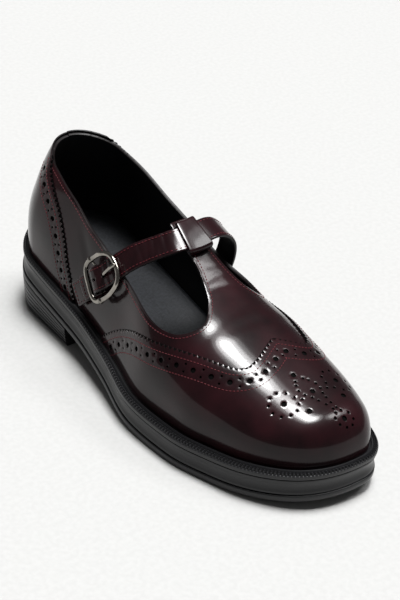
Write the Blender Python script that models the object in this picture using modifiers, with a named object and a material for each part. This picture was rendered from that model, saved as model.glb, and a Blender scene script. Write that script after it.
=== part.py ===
"""Right T-bar brogue shoe with a buckled strap, as a shoemaker's assembly of separate pieces.

The toe points along +Y and the outer side of the foot is +X. The origin is on the floor, under the
middle of the sole. All sizes are in metres.
"""

import math
from collections import namedtuple

import bmesh
import bpy
from mathutils import Vector

# Driving dimensions of the sole
SHOE_LENGTH = 0.270
SHOE_WIDTH = 0.102
HEEL_END_RADIUS = 0.032
TOE_END_RADIUS = 0.054
TOE_END_POWER = 2.3
HEEL_BACK_LIFT = 0.0257
HEEL_BREAST_LIFT = 0.0136
HEEL_LENGTH = 0.073
TOE_SPRING = 0.0065
OUTSOLE_THICKNESS = 0.0049
MIDSOLE_THICKNESS = 0.0102
WELT_THICKNESS = 0.0035
LEDGE_WIDTH = 0.0076
WELT_SEAT_WIDTH = 0.008
BEAD_WIDTH = 0.0015
BEAD_HEIGHT = 0.0010
EDGE_ROUND = 0.0016
EDGE_BREAK = 0.0005
WALL_WAIST = 0.0010
HEEL_TAPER = 0.0026
HEEL_GROOVES = 5
HEEL_GROOVE_DEPTH = 0.0009
HEEL_GROOVE_SHARE = 0.14

# Driving dimensions of the upper
COLLAR_HEIGHT = 0.063
INSTEP_HEIGHT = 0.067
LAST_SQUARENESS = 2.7
UPPER_WALL = 0.0018
OVERLAY_WALL = 0.0010
TOE_FRONT_ROUND = 0.017
TOE_FRONT_POWER = 2.2
COLLAR_RAKE = 0.0115
HEEL_SWELL = 0.0022
SWELL_TOP = 0.65
HEEL_LEAN_REACH = 0.30
BELLY = 0.0080
OPENING_ROUND = 0.0035
INSOLE_THICKNESS = 0.0035
TBAR_WIDTH = 0.013

# Driving dimensions of the strap and its buckle
STRAP_WIDTH = 0.0145
STRAP_WALL = 0.0018
SHORT_STRAP_WALL = 0.0013
SHORT_STRAP_LENGTH = 0.027
FREE_END_LENGTH = 0.022
FOLD_DEGREES = 240
LOOP_LENGTH = 0.021
LOOP_WALL = 0.0012
FRAME_LENGTH = 0.029
FRAME_WIDTH = 0.027
FRAME_WIRE = 0.0013
FRAME_FRONT_POWER = 2.6
FRAME_BACK_POWER = 4.0
BAR_RADIUS = 0.0007
BAR_OFFSET = 0.005
PRONG_RADIUS = 0.0007
PRONG_SLOT_WIDTH = 0.0026
SLOT_REACH = 0.0018
HOLE_RADIUS = 0.0012
HOLE_PLACE = 0.0030
SPARE_HOLE_PLACE = -0.0045

# Clearance between pieces that touch on the real shoe
FIT = 0.0003
STRAP_SEAT = 0.0006

# Numbers of faces
SOLE_STATIONS = 32
HEEL_STATIONS = 12
LAST_STATIONS = 40
LAST_TURNS = 24
STRAP_STATIONS = 54
SHORT_STRAP_STATIONS = 12
FOLD_STATIONS = 8
FRAME_STATIONS = 32
TUBE_SIDES = 8

# Outline of the sole: half widths from its centre line and ledges outside the upper, as shares of
# SHOE_WIDTH and of LEDGE_WIDTH, by share of the length from the heel
SoleRow = namedtuple("SoleRow", "along centre outer inner outer_ledge inner_ledge")
SOLE_ROWS = [
    SoleRow(0.00, -0.042, 0.318, 0.318, 0.53, 0.53),
    SoleRow(0.13, -0.042, 0.370, 0.374, 0.60, 0.60),
    SoleRow(0.30, -0.042, 0.396, 0.350, 0.70, 0.70),
    SoleRow(0.45, -0.042, 0.466, 0.328, 0.80, 0.78),
    SoleRow(0.58, -0.042, 0.542, 0.413, 0.92, 0.84),
    SoleRow(0.70, -0.058, 0.548, 0.442, 1.00, 0.84),
    SoleRow(0.82, -0.094, 0.497, 0.399, 1.00, 0.82),
    SoleRow(0.92, -0.140, 0.475, 0.353, 0.96, 0.82),
    SoleRow(1.00, -0.187, 0.504, 0.290, 0.80, 0.80),
]

# Side view of the sole's underside: shares of the heel's lift at its back and at its breast, and of
# the toe's spring
LiftRow = namedtuple("LiftRow", "along back breast toe")
LIFT_ROWS = [
    LiftRow(0.00, 1.00, 0.00, 0.00),
    LiftRow(0.27, 0.00, 1.00, 0.00),
    LiftRow(0.42, 0.00, 0.60, 0.00),
    LiftRow(0.56, 0.00, 0.10, 0.00),
    LiftRow(0.64, 0.00, 0.00, 0.00),
    LiftRow(0.76, 0.00, 0.00, 0.00),
    LiftRow(0.88, 0.00, 0.00, 0.29),
    LiftRow(1.00, 0.00, 0.00, 1.00),
]

# Sections of the last: ridge height as a share of INSTEP_HEIGHT, place of the ridge from the inner
# side to the outer, and how far each wall swells past the sole, as a share of BELLY
LastRow = namedtuple("LastRow", "along height ridge outer_belly inner_belly")
LAST_ROWS = [
    LastRow(0.00, 1.06, 0.50, 0.00, 0.00),
    LastRow(0.12, 1.09, 0.50, 0.25, 0.25),
    LastRow(0.22, 1.16, 0.46, -0.10, 0.35),
    LastRow(0.31, 1.15, 0.40, -0.45, 0.55),
    LastRow(0.40, 1.11, 0.35, -0.60, 0.75),
    LastRow(0.50, 1.00, 0.36, -0.35, 0.80),
    LastRow(0.60, 0.84, 0.39, 0.05, 0.60),
    LastRow(0.70, 0.73, 0.41, 0.22, 0.40),
    LastRow(0.80, 0.59, 0.41, 0.22, 0.25),
    LastRow(0.90, 0.43, 0.41, 0.20, 0.10),
    LastRow(1.00, 0.32, 0.41, 0.00, 0.00),
]

# Topline above the sole on each side, as shares of COLLAR_HEIGHT
TopRow = namedtuple("TopRow", "along outer inner")
TOP_ROWS = [
    TopRow(0.00, 0.985, 0.985),
    TopRow(0.06, 1.000, 1.010),
    TopRow(0.12, 0.985, 0.990),
    TopRow(0.22, 0.910, 0.930),
    TopRow(0.30, 0.775, 0.830),
    TopRow(0.38, 0.705, 0.770),
    TopRow(0.47, 0.690, 0.740),
    TopRow(0.57, 0.680, 0.720),
    TopRow(0.61, 0.690, 0.730),
    TopRow(0.64, 0.740, 0.770),
    TopRow(0.66, 0.830, 0.850),
    TopRow(0.72, 1.200, 1.200),
]

# Half width of the T-bar as a share of TBAR_WIDTH
BarRow = namedtuple("BarRow", "along half")
BAR_ROWS = [
    BarRow(0.44, 0.50),
    BarRow(0.50, 0.49),
    BarRow(0.54, 0.57),
    BarRow(0.57, 0.72),
    BarRow(0.60, 0.95),
    BarRow(0.62, 1.25),
    BarRow(0.64, 1.60),
    BarRow(0.70, 2.80),
]

# Back edge of the wing cap: share of the length by turn from the ridge (0) to the sole (1)
WingRow = namedtuple("WingRow", "along place")
WING_ROWS = [
    WingRow(0.00, 0.745),
    WingRow(0.10, 0.758),
    WingRow(0.20, 0.770),
    WingRow(0.30, 0.776),
    WingRow(0.38, 0.762),
    WingRow(0.47, 0.695),
    WingRow(0.58, 0.610),
    WingRow(0.70, 0.530),
    WingRow(0.82, 0.470),
    WingRow(1.00, 0.400),
]

# Front edge of the heel counter: share of the length by height as a share of COLLAR_HEIGHT
CounterRow = namedtuple("CounterRow", "along place")
COUNTER_ROWS = [
    CounterRow(0.00, 0.275),
    CounterRow(0.15, 0.258),
    CounterRow(0.30, 0.238),
    CounterRow(0.50, 0.218),
    CounterRow(0.70, 0.188),
    CounterRow(0.85, 0.140),
    CounterRow(1.00, 0.075),
    CounterRow(1.10, 0.045),
]

# Route of the strap round the last: share of the length, turn from the inner side (-1) over the
# ridge (0) to the outer side (1), and lift off the last as a share of INSTEP_HEIGHT
RouteRow = namedtuple("RouteRow", "along place turn lift")
ROUTE_ROWS = [
    RouteRow(0.00, 0.294, 0.925, 0.02),
    RouteRow(0.06, 0.312, 0.88, 0.02),
    RouteRow(0.13, 0.333, 0.82, 0.01),
    RouteRow(0.20, 0.352, 0.77, 0.00),
    RouteRow(0.29, 0.383, 0.68, 0.00),
    RouteRow(0.38, 0.412, 0.56, -0.06),
    RouteRow(0.46, 0.442, 0.40, -0.11),
    RouteRow(0.53, 0.462, 0.26, -0.08),
    RouteRow(0.59, 0.475, 0.12, -0.01),
    RouteRow(0.64, 0.478, 0.00, 0.00),
    RouteRow(0.69, 0.476, -0.14, 0.01),
    RouteRow(0.76, 0.472, -0.32, 0.07),
    RouteRow(0.82, 0.468, -0.48, 0.11),
    RouteRow(0.88, 0.463, -0.59, 0.07),
    RouteRow(0.94, 0.456, -0.68, 0.01),
    RouteRow(1.00, 0.446, -0.77, 0.00),
]


def knot_slope(xs, ys, i):
    """Slope of the smooth curve at one row of a table."""
    before = (ys[i] - ys[i - 1]) / (xs[i] - xs[i - 1]) if i > 0 else None
    after = (ys[i + 1] - ys[i]) / (xs[i + 1] - xs[i]) if i + 1 < len(xs) else None
    if before is None or after is None:
        return after if before is None else before
    if before * after <= 0.0:
        return 0.0
    return 2.0 * before * after / (before + after)


def smooth_curve(xs, ys, x):
    """Value at x of a curve through the points that never swings past them."""
    x = min(max(x, xs[0]), xs[-1])
    i = max(k for k in range(len(xs) - 1) if xs[k] <= x or k == 0)
    span = xs[i + 1] - xs[i]
    t = (x - xs[i]) / span
    start, end = knot_slope(xs, ys, i) * span, knot_slope(xs, ys, i + 1) * span
    low = (1 + 2 * t) * (1 - t) ** 2 * ys[i] + t * (1 - t) ** 2 * start
    high = t * t * (3 - 2 * t) * ys[i + 1] + t * t * (t - 1) * end
    return low + high


def read_table(rows, column, along):
    """Reads one named column of a table between its rows."""
    return smooth_curve([row.along for row in rows], [getattr(row, column) for row in rows], along)


def end_round(distance, radius, power):
    """Share of the full width near a rounded end, from 0 at the tip to 1 at one radius."""
    share = min(max(distance / radius, 0.0), 1.0)
    return (1.0 - (1.0 - share) ** power) ** (1.0 / power)


def share_of(y):
    """Share of the shoe's length at a place along Y."""
    return min(max(y / SHOE_LENGTH + 0.5, 0.0), 1.0)


def sweep_share(sweep):
    """Share of the length for an even sweep from heel to toe, closer together at both ends."""
    return (1.0 - math.cos(math.pi * sweep)) / 2.0


def plain_edge(side, along):
    """Point of the sole's outline on the outer (+1) or inner (-1) side."""
    half = read_table(SOLE_ROWS, "outer" if side > 0 else "inner", along) * SHOE_WIDTH
    half *= end_round(along * SHOE_LENGTH, HEEL_END_RADIUS, 2.0)
    half *= end_round((1.0 - along) * SHOE_LENGTH, TOE_END_RADIUS, TOE_END_POWER)
    centre = read_table(SOLE_ROWS, "centre", along) * SHOE_WIDTH
    return Vector((centre + side * half, (along - 0.5) * SHOE_LENGTH, 0.0))


def outline_middle():
    """Place across the shoe that halves the outline's width."""
    shares = [step / 100 for step in range(101)]
    return (max(plain_edge(1, share).x for share in shares)
            + min(plain_edge(-1, share).x for share in shares)) / 2.0


OUTLINE_MIDDLE = outline_middle()


def sole_edge(side, sweep):
    """Point of the outline for a sweep from heel (0) to toe (1)."""
    edge = plain_edge(side, sweep_share(sweep))
    return edge - Vector((OUTLINE_MIDDLE, 0.0, 0.0))


def edge_outward(side, sweep):
    """Direction out of the outline, level with the floor."""
    if sweep <= 0.0 or sweep >= 1.0:
        return Vector((0.0, -1.0 if sweep <= 0.0 else 1.0, 0.0))
    step = 0.002
    run = sole_edge(side, min(sweep + step, 1.0)) - sole_edge(side, max(sweep - step, 0.0))
    return side * Vector((run.y, -run.x, 0.0)).normalized()


def inset_edge(side, sweep, inset, ledges=0.0):
    """Point inside the outline by an inset and a number of ledge widths."""
    column = "outer_ledge" if side > 0 else "inner_ledge"
    ledge = read_table(SOLE_ROWS, column, sweep_share(sweep)) * LEDGE_WIDTH
    return sole_edge(side, sweep) - edge_outward(side, sweep) * (inset + ledges * ledge)


def underside(y):
    """Height of the outsole's underside above the floor."""
    lifts = [row.back * HEEL_BACK_LIFT + row.breast * HEEL_BREAST_LIFT + row.toe * TOE_SPRING
             for row in LIFT_ROWS]
    return smooth_curve([row.along for row in LIFT_ROWS], lifts, share_of(y))


def welt_top(y):
    """Height of the ledge that the upper stands on."""
    return underside(y) + OUTSOLE_THICKNESS + MIDSOLE_THICKNESS + WELT_THICKNESS


def at_height(point, height):
    """The same place at another height."""
    return Vector((point.x, point.y, height))


def sole_ring(inset, rise, ledges=0.0):
    """Closed ring round the sole at a rise above its underside."""
    sweeps = [step / SOLE_STATIONS for step in range(SOLE_STATIONS + 1)]
    ring = [inset_edge(1, sweep, inset, ledges) for sweep in sweeps]
    ring += [inset_edge(-1, sweep, inset, ledges) for sweep in reversed(sweeps[1:-1])]
    return [at_height(point, underside(point.y) + rise) for point in ring]


def strip_cap(bm, loop):
    """Closes a ring with strips straight across the shoe."""
    bm.faces.new((loop[0], loop[1], loop[-1]))
    near, far = 1, len(loop) - 1
    while near + 1 < far - 1:
        bm.faces.new((loop[near], loop[near + 1], loop[far - 1], loop[far]))
        near, far = near + 1, far - 1
    if far - near == 2:
        bm.faces.new((loop[near], loop[near + 1], loop[far]))


def loft(rings, hollow=False):
    """Solid through rings that have the same number of points, or a band when hollow."""
    bm = bmesh.new()
    loops = [[bm.verts.new(point) for point in ring] for ring in rings]
    pairs = list(zip(loops, loops[1:]))
    if hollow:
        pairs.append((loops[-1], loops[0]))
    for lower, upper in pairs:
        for i, corner in enumerate(lower):
            bm.faces.new((lower[i - 1], corner, upper[i], upper[i - 1]))
    if not hollow:
        strip_cap(bm, loops[0])
        strip_cap(bm, loops[-1])
    bmesh.ops.recalc_face_normals(bm, faces=bm.faces)
    return bm


def finish_object(name, bm, look, collection):
    """Object with its material, from a bmesh."""
    mesh = bpy.data.meshes.new(name)
    bm.to_mesh(mesh)
    bm.free()
    mesh.shade_smooth()
    mesh.set_sharp_from_angle(angle=math.radians(35))
    mesh.materials.append(look)
    piece = bpy.data.objects.new(name, mesh)
    collection.objects.link(piece)
    return piece


def make_look(name, colour, roughness, metallic=0.0):
    """Principled material from a linear colour."""
    look = bpy.data.materials.new(name)
    look.use_nodes = True
    shader = look.node_tree.nodes["Principled BSDF"]
    shader.inputs["Base Color"].default_value = (*colour, 1.0)
    shader.inputs["Roughness"].default_value = roughness
    shader.inputs["Metallic"].default_value = metallic
    return look


def make_outsole():
    """Thin bottom layer with a rounded lower edge."""
    top = OUTSOLE_THICKNESS - FIT
    return loft([
        sole_ring(EDGE_ROUND, 0.0),
        sole_ring(EDGE_ROUND * 0.3, EDGE_ROUND * 0.3),
        sole_ring(0.0, EDGE_ROUND),
        sole_ring(0.0, top - EDGE_BREAK),
        sole_ring(EDGE_BREAK, top),
    ])


def make_midsole():
    """Thick wall of the sole unit, with the plug that fills the welt."""
    low = OUTSOLE_THICKNESS
    high = OUTSOLE_THICKNESS + MIDSOLE_THICKNESS - FIT
    plug = OUTSOLE_THICKNESS + MIDSOLE_THICKNESS + WELT_THICKNESS
    return loft([
        sole_ring(2 * EDGE_BREAK, low),
        sole_ring(EDGE_BREAK, low + EDGE_BREAK),
        sole_ring(EDGE_BREAK + WALL_WAIST, (low + high) / 2),
        sole_ring(EDGE_BREAK, high),
        sole_ring(WELT_SEAT_WIDTH + FIT, high, 1.0),
        sole_ring(WELT_SEAT_WIDTH + FIT, plug, 1.0),
    ])


def make_welt():
    """Ribbed ledge band with a bead beside the upper."""
    low = OUTSOLE_THICKNESS + MIDSOLE_THICKNESS
    high = low + WELT_THICKNESS
    bead_inner = -OVERLAY_WALL - 3 * FIT
    bead_outer = bead_inner - BEAD_WIDTH
    return loft([
        sole_ring(EDGE_BREAK, low),
        sole_ring(0.0, low + EDGE_BREAK),
        sole_ring(0.0, high - EDGE_BREAK),
        sole_ring(EDGE_BREAK, high),
        sole_ring(bead_outer, high, 1.0),
        sole_ring(bead_outer + BEAD_WIDTH / 3, high + BEAD_HEIGHT, 1.0),
        sole_ring(bead_inner, high + BEAD_HEIGHT, 1.0),
        sole_ring(bead_inner, high, 1.0),
        sole_ring(WELT_SEAT_WIDTH, high, 1.0),
        sole_ring(WELT_SEAT_WIDTH, low, 1.0),
    ], hollow=True)


def make_insole():
    """Footbed inside the upper's wall."""
    low = OUTSOLE_THICKNESS + MIDSOLE_THICKNESS + WELT_THICKNESS + FIT
    high = low + INSOLE_THICKNESS
    inset = UPPER_WALL + 2 * FIT
    return loft([
        sole_ring(inset, low, 1.0),
        sole_ring(inset, high - EDGE_BREAK, 1.0),
        sole_ring(inset + EDGE_BREAK, high, 1.0),
    ])


def heel_ring(share, inset):
    """Ring round the heel at a share of its height, straight along the breast."""
    breast = HEEL_LENGTH - SHOE_LENGTH / 2
    last_sweep = math.acos(1.0 - 2.0 * HEEL_LENGTH / SHOE_LENGTH) / math.pi
    sweeps = [last_sweep * step / HEEL_STATIONS for step in range(HEEL_STATIONS + 1)]
    ring = []
    for side, steps in ((1, sweeps), (-1, sweeps[:0:-1])):
        for sweep in steps:
            point = inset_edge(side, sweep, inset)
            if sweep == last_sweep:
                point.y = breast
            ring.append(at_height(point, share * (underside(point.y) - FIT)))
    return ring


def make_heel():
    """Heel block with grooves round its side."""
    foot = EDGE_BREAK / HEEL_BREAST_LIFT
    rings = [heel_ring(0.0, HEEL_TAPER + EDGE_BREAK), heel_ring(foot, HEEL_TAPER)]
    spacing = 1.0 / (HEEL_GROOVES + 1)
    for groove in range(1, HEEL_GROOVES + 1):
        middle = groove * spacing
        for offset, depth in ((-HEEL_GROOVE_SHARE, 0.0), (0.0, HEEL_GROOVE_DEPTH), (HEEL_GROOVE_SHARE, 0.0)):
            share = middle + offset * spacing
            rings.append(heel_ring(share, HEEL_TAPER * (1.0 - share) + depth))
    rings.append(heel_ring(1.0, EDGE_BREAK))
    return loft(rings)


def last_point(sweep, turn):
    """Point of the upper's outer form: turn runs from -1, inner side, over 0, ridge, to 1, outer."""
    along = sweep_share(sweep)
    outer = inset_edge(1, sweep, 0.0, 1.0)
    inner = inset_edge(-1, sweep, 0.0, 1.0)
    ridge = inner.lerp(outer, read_table(LAST_ROWS, "ridge", along))
    foot = outer if turn > 0 else inner
    angle = (1.0 - abs(turn)) * math.pi / 2
    reach, rise = math.cos(angle), math.sin(angle)
    size = (reach ** LAST_SQUARENESS + rise ** LAST_SQUARENESS) ** (-1.0 / LAST_SQUARENESS)
    reach, rise = reach * size, rise * size
    point = ridge.lerp(foot, reach)
    toe_tip = inset_edge(1, 1.0, 0.0, 1.0).y
    front = end_round(toe_tip - ridge.y, TOE_FRONT_ROUND, TOE_FRONT_POWER)
    ends = front * end_round(along * SHOE_LENGTH, HEEL_END_RADIUS, 2.0)
    column = "outer_belly" if turn > 0 else "inner_belly"
    belly = read_table(LAST_ROWS, column, along) * BELLY * ends * math.sin(math.pi * rise) ** 2 * reach
    point.x += math.copysign(belly, turn)
    height = rise * read_table(LAST_ROWS, "height", along) * INSTEP_HEIGHT * front
    point.y += heel_lean(height, along)
    return at_height(point, welt_top(ridge.y) + FIT + height)


def heel_lean(height, along):
    """How far the back of the heel swells backwards low down and leans forwards at the collar."""
    fade = max(1.0 - along / HEEL_LEAN_REACH, 0.0) ** 2
    share = min(height / COLLAR_HEIGHT, 1.2)
    swell = math.sin(math.pi * min(share / SWELL_TOP, 1.0))
    return fade * (COLLAR_RAKE * share ** 1.8 - HEEL_SWELL * swell)


def ridge_place(y):
    """Place of the ridge across the shoe."""
    sweep = math.acos(1.0 - 2.0 * share_of(y)) / math.pi
    inner, outer = inset_edge(-1, sweep, 0.0, 1.0), inset_edge(1, sweep, 0.0, 1.0)
    return inner.lerp(outer, read_table(LAST_ROWS, "ridge", share_of(y))).x


def opening_depth(point):
    """Positive inside the foot opening, on both sides of the T-bar."""
    along = share_of(point.y)
    across = point.x - ridge_place(point.y)
    topline = read_table(TOP_ROWS, "outer" if across > 0 else "inner", along) * COLLAR_HEIGHT
    above = point.z - welt_top(point.y) - FIT - topline
    half = read_table(BAR_ROWS, "half", along) * TBAR_WIDTH
    bar_end = (BAR_ROWS[0].along - 0.5) * SHOE_LENGTH
    beside = max(abs(across) - half, bar_end - point.y)
    if above <= 0.0 or beside <= 0.0:
        return min(above, beside) - OPENING_ROUND
    return (above * beside - OPENING_ROUND ** 2) / (above + beside + OPENING_ROUND)


def last_sheet(off):
    """Open sheet over the whole last, lifted off it by a distance."""
    bm = bmesh.new()
    rows = []
    for step in range(LAST_STATIONS + 1):
        turns = [1.0 - 2.0 * place / LAST_TURNS for place in range(LAST_TURNS + 1)]
        rows.append([bm.verts.new(last_point(step / LAST_STATIONS, turn)) for turn in turns])
    for back, front in zip(rows, rows[1:]):
        for i in range(LAST_TURNS):
            bm.faces.new((back[i], front[i], front[i + 1], back[i + 1]))
    bmesh.ops.remove_doubles(bm, verts=bm.verts, dist=1e-6)
    bmesh.ops.recalc_face_normals(bm, faces=bm.faces)
    bm.normal_update()
    if sum(face.normal.z * face.calc_area() for face in bm.faces) < 0.0:
        bmesh.ops.reverse_faces(bm, faces=bm.faces)
        bm.normal_update()
    for vert, normal in [(vert, vert.normal.copy()) for vert in bm.verts]:
        vert.co += normal * off
    return bm


def crossing(start, end, depth):
    """Share of the way from start to end where the depth changes sign."""
    low, high = 0.0, 1.0
    sign = depth(start) > 0.0
    for _ in range(12):
        middle = (low + high) / 2
        if (depth(start.lerp(end, middle)) > 0.0) == sign:
            low = middle
        else:
            high = middle
    return min(max(low, 0.08), 0.92)


def cut_away(bm, depth):
    """Cuts a sheet along the line where depth is zero and drops the positive side."""
    doomed = {vert for vert in bm.verts if depth(vert.co) > 0.0}
    seam = []
    for edge in list(bm.edges):
        first, second = edge.verts
        if (first in doomed) != (second in doomed):
            share = crossing(first.co.copy(), second.co.copy(), depth)
            seam.append(bmesh.utils.edge_split(edge, first, share)[1])
    bmesh.ops.connect_verts(bm, verts=seam)
    bmesh.ops.delete(bm, geom=list(doomed), context="VERTS")


def thicken(bm, wall, outward):
    """Closed wall from an open sheet, with a level foot on the ledge."""
    mesh = bpy.data.meshes.new("sheet")
    bm.to_mesh(mesh)
    bm.free()
    sheet = bpy.data.objects.new("sheet", mesh)
    bpy.context.scene.collection.objects.link(sheet)
    solidify = sheet.modifiers.new("wall", "SOLIDIFY")
    solidify.thickness = wall
    solidify.offset = 1.0 if outward else -1.0
    solidify.use_even_offset = True
    solidify.use_quality_normals = True
    bpy.context.view_layer.update()
    depsgraph = bpy.context.evaluated_depsgraph_get()
    solid = bmesh.new()
    solid.from_mesh(bpy.data.meshes.new_from_object(sheet.evaluated_get(depsgraph)))
    bpy.data.objects.remove(sheet)
    for vert in solid.verts:
        if vert.co.z - welt_top(vert.co.y) < 3 * FIT:
            vert.co.z = welt_top(vert.co.y) + FIT
    return solid


def make_upper():
    """Vamp, quarters and T-bar in one hollow wall."""
    sheet = last_sheet(0.0)
    cut_away(sheet, opening_depth)
    return thicken(sheet, UPPER_WALL, outward=False)


def turn_of(point):
    """Turn round the last at a point near it, without its side."""
    along = share_of(point.y)
    sweep = math.acos(1.0 - 2.0 * along) / math.pi
    side = 1 if point.x > ridge_place(point.y) else -1
    reach = abs(inset_edge(side, sweep, 0.0, 1.0).x - ridge_place(point.y))
    height = read_table(LAST_ROWS, "height", along) * INSTEP_HEIGHT
    rise = max(point.z - welt_top(point.y) - FIT, 0.0) / height
    return 1.0 - math.atan2(rise, abs(point.x - ridge_place(point.y)) / reach) / (math.pi / 2)


def behind_wing(point):
    """Positive behind the back edge of the wing cap."""
    return (read_table(WING_ROWS, "place", turn_of(point)) - share_of(point.y)) * SHOE_LENGTH


def make_wing_cap():
    """Wing cap over the toe, a second layer on the vamp."""
    sheet = last_sheet(FIT)
    cut_away(sheet, behind_wing)
    return thicken(sheet, OVERLAY_WALL, outward=True)


def outside_counter(point):
    """Positive in front of the counter's edge or above its top."""
    height = point.z - welt_top(point.y) - FIT
    along = share_of(point.y)
    front = read_table(COUNTER_ROWS, "place", height / COLLAR_HEIGHT)
    topline = read_table(TOP_ROWS, "outer", along) * COLLAR_HEIGHT - OVERLAY_WALL
    return max((along - front) * SHOE_LENGTH, height - topline)


def make_heel_counter():
    """Counter round the heel, a second layer on the quarters."""
    sheet = last_sheet(FIT)
    cut_away(sheet, outside_counter)
    return thicken(sheet, OVERLAY_WALL, outward=True)


def route_point(along, lift):
    """Point of the strap's route at a share of it, lifted off."""
    place = read_table(ROUTE_ROWS, "place", along)
    turn = read_table(ROUTE_ROWS, "turn", along)
    sweep = math.acos(1.0 - 2.0 * place) / math.pi
    step = 0.01
    forward = last_point(sweep + step, turn) - last_point(sweep - step, turn)
    sideways = last_point(sweep, turn + step) - last_point(sweep, turn - step)
    outward = forward.cross(sideways).normalized() * -1.0
    lift += read_table(ROUTE_ROWS, "lift", along) * INSTEP_HEIGHT
    return last_point(sweep, turn) + outward * lift, outward


def measure_route():
    """Distances along the route, with a point and an outward direction at each."""
    samples = [route_point(step / 160, 0.0) for step in range(161)]
    points = [point for point, _ in samples]
    distances = [0.0]
    for before, after in zip(points, points[1:]):
        distances.append(distances[-1] + (after - before).length)
    outwards = []
    for i in range(len(samples)):
        near = samples[max(i - 6, 0):i + 7]
        outwards.append(sum((outward for _, outward in near), Vector()).normalized())
    return distances, points, outwards


ROUTE_DISTANCES, ROUTE_POINTS, ROUTE_OUTWARDS = measure_route()
ROUTE_LENGTH = ROUTE_DISTANCES[-1]


def strap_frame(distance):
    """Point, direction, side and outward direction of the route at a distance from its low end."""
    distance = min(max(distance, 0.0), ROUTE_LENGTH)
    i = max(k for k in range(len(ROUTE_DISTANCES) - 1) if ROUTE_DISTANCES[k] <= distance)
    share = (distance - ROUTE_DISTANCES[i]) / (ROUTE_DISTANCES[i + 1] - ROUTE_DISTANCES[i])
    point = ROUTE_POINTS[i].lerp(ROUTE_POINTS[i + 1], share)
    first, last = max(i - 3, 0), min(i + 4, len(ROUTE_POINTS) - 1)
    run = (ROUTE_POINTS[last] - ROUTE_POINTS[first]).normalized()
    outward = ROUTE_OUTWARDS[i].lerp(ROUTE_OUTWARDS[i + 1], share)
    outward = (outward - run * outward.dot(run)).normalized()
    return point, run, outward.cross(run), outward


def strap_point(distance, across, lift):
    """Place by distance along the route, across it and off the last."""
    point, _, side, outward = strap_frame(distance)
    return point + side * across + outward * lift


BAR_PLACE = SHORT_STRAP_LENGTH
BUCKLE_PLACE = BAR_PLACE + BAR_OFFSET
LOOP_PLACE = min(ROUTE_DISTANCES, key=lambda distance: abs(
    strap_frame(distance)[0].x - ridge_place(strap_frame(distance)[0].y)))
FOLD_RADIUS = BAR_RADIUS + FIT + SHORT_STRAP_WALL
BAR_LIFT = STRAP_SEAT + FOLD_RADIUS
LOW_LIFT = STRAP_SEAT + SHORT_STRAP_WALL + FIT
FRAME_LIFT = LOW_LIFT + STRAP_WALL + FIT + FRAME_WIRE


def strap_lift(distance):
    """Lift of the long strap's lower face: under the frame, over its bar and through the loop."""
    under_frame = FRAME_LENGTH / 2 - 2 * FRAME_WIRE - FIT
    in_loop = STRAP_SEAT + LOOP_WALL + FIT
    knots = [
        (BUCKLE_PLACE - FREE_END_LENGTH, LOW_LIFT),
        (BUCKLE_PLACE - under_frame, LOW_LIFT),
        (BAR_PLACE - FOLD_RADIUS, BAR_LIFT + FOLD_RADIUS + FIT),
        (BAR_PLACE, BAR_LIFT + FOLD_RADIUS + 2 * FIT),
        (BUCKLE_PLACE + HOLE_PLACE, BAR_LIFT + FIT),
        (BUCKLE_PLACE + under_frame, LOW_LIFT),
        (BUCKLE_PLACE + FRAME_LENGTH, LOW_LIFT),
        (LOOP_PLACE - TBAR_WIDTH, in_loop),
        (LOOP_PLACE + TBAR_WIDTH, in_loop),
        (ROUTE_LENGTH - STRAP_WIDTH, STRAP_SEAT),
        (ROUTE_LENGTH, STRAP_SEAT),
    ]
    return smooth_curve([knot[0] for knot in knots], [knot[1] for knot in knots], distance)


def ribbon(lower, upper):
    """Strip as wide as the strap between two faces, each given as distances and lifts."""
    bm = bmesh.new()
    half = STRAP_WIDTH / 2
    loops = []
    for low, high in zip(lower, upper):
        corners = ((-half, low), (half, low), (half, high), (-half, high))
        loops.append([bm.verts.new(strap_point(face[0], across, face[1])) for across, face in corners])
    join_loops(bm, loops)
    return bm


def join_loops(bm, loops, closed=False):
    """Walls between rings of vertices, with both ends filled unless the rings go round."""
    pairs = list(zip(loops, loops[1:]))
    if closed:
        pairs.append((loops[-1], loops[0]))
    for near, far in pairs:
        for i, corner in enumerate(near):
            bm.faces.new((near[i - 1], corner, far[i], far[i - 1]))
    if not closed:
        bm.faces.new(loops[0])
        bm.faces.new(loops[-1])
    bmesh.ops.recalc_face_normals(bm, faces=bm.faces)


def tube(points, radius, sides, closed=False):
    """Round rod along points of the route's space, given as distance, across and lift."""
    bm = bmesh.new()
    places = [strap_point(*point) for point in points]
    loops = []
    for i, place in enumerate(places):
        before = places[i - 1] if closed or i > 0 else places[i]
        after = places[(i + 1) % len(places)] if closed or i + 1 < len(places) else places[i]
        run = (after - before).normalized()
        first = run.cross(strap_frame(points[i][0])[3])
        if first.length < 0.2:
            first = run.cross(strap_frame(points[i][0])[1])
        first.normalize()
        second = run.cross(first)
        angles = [2 * math.pi * side / sides for side in range(sides)]
        loops.append([bm.verts.new(place + (first * math.cos(angle) + second * math.sin(angle)) * radius)
                      for angle in angles])
    join_loops(bm, loops, closed)
    return bm


def make_cutter(name, bm, collection):
    """Hidden wire object that shapes another piece."""
    mesh = bpy.data.meshes.new(name)
    bm.to_mesh(mesh)
    bm.free()
    cutter = bpy.data.objects.new(name, mesh)
    cutter.hide_render = True
    cutter.display_type = "WIRE"
    collection.objects.link(cutter)
    return cutter


def combine(piece, cutter, operation):
    """Adds a Boolean of one cutter to a piece."""
    boolean = piece.modifiers.new(cutter.name, "BOOLEAN")
    boolean.operation = operation
    boolean.solver = "EXACT"
    boolean.object = cutter


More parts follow.
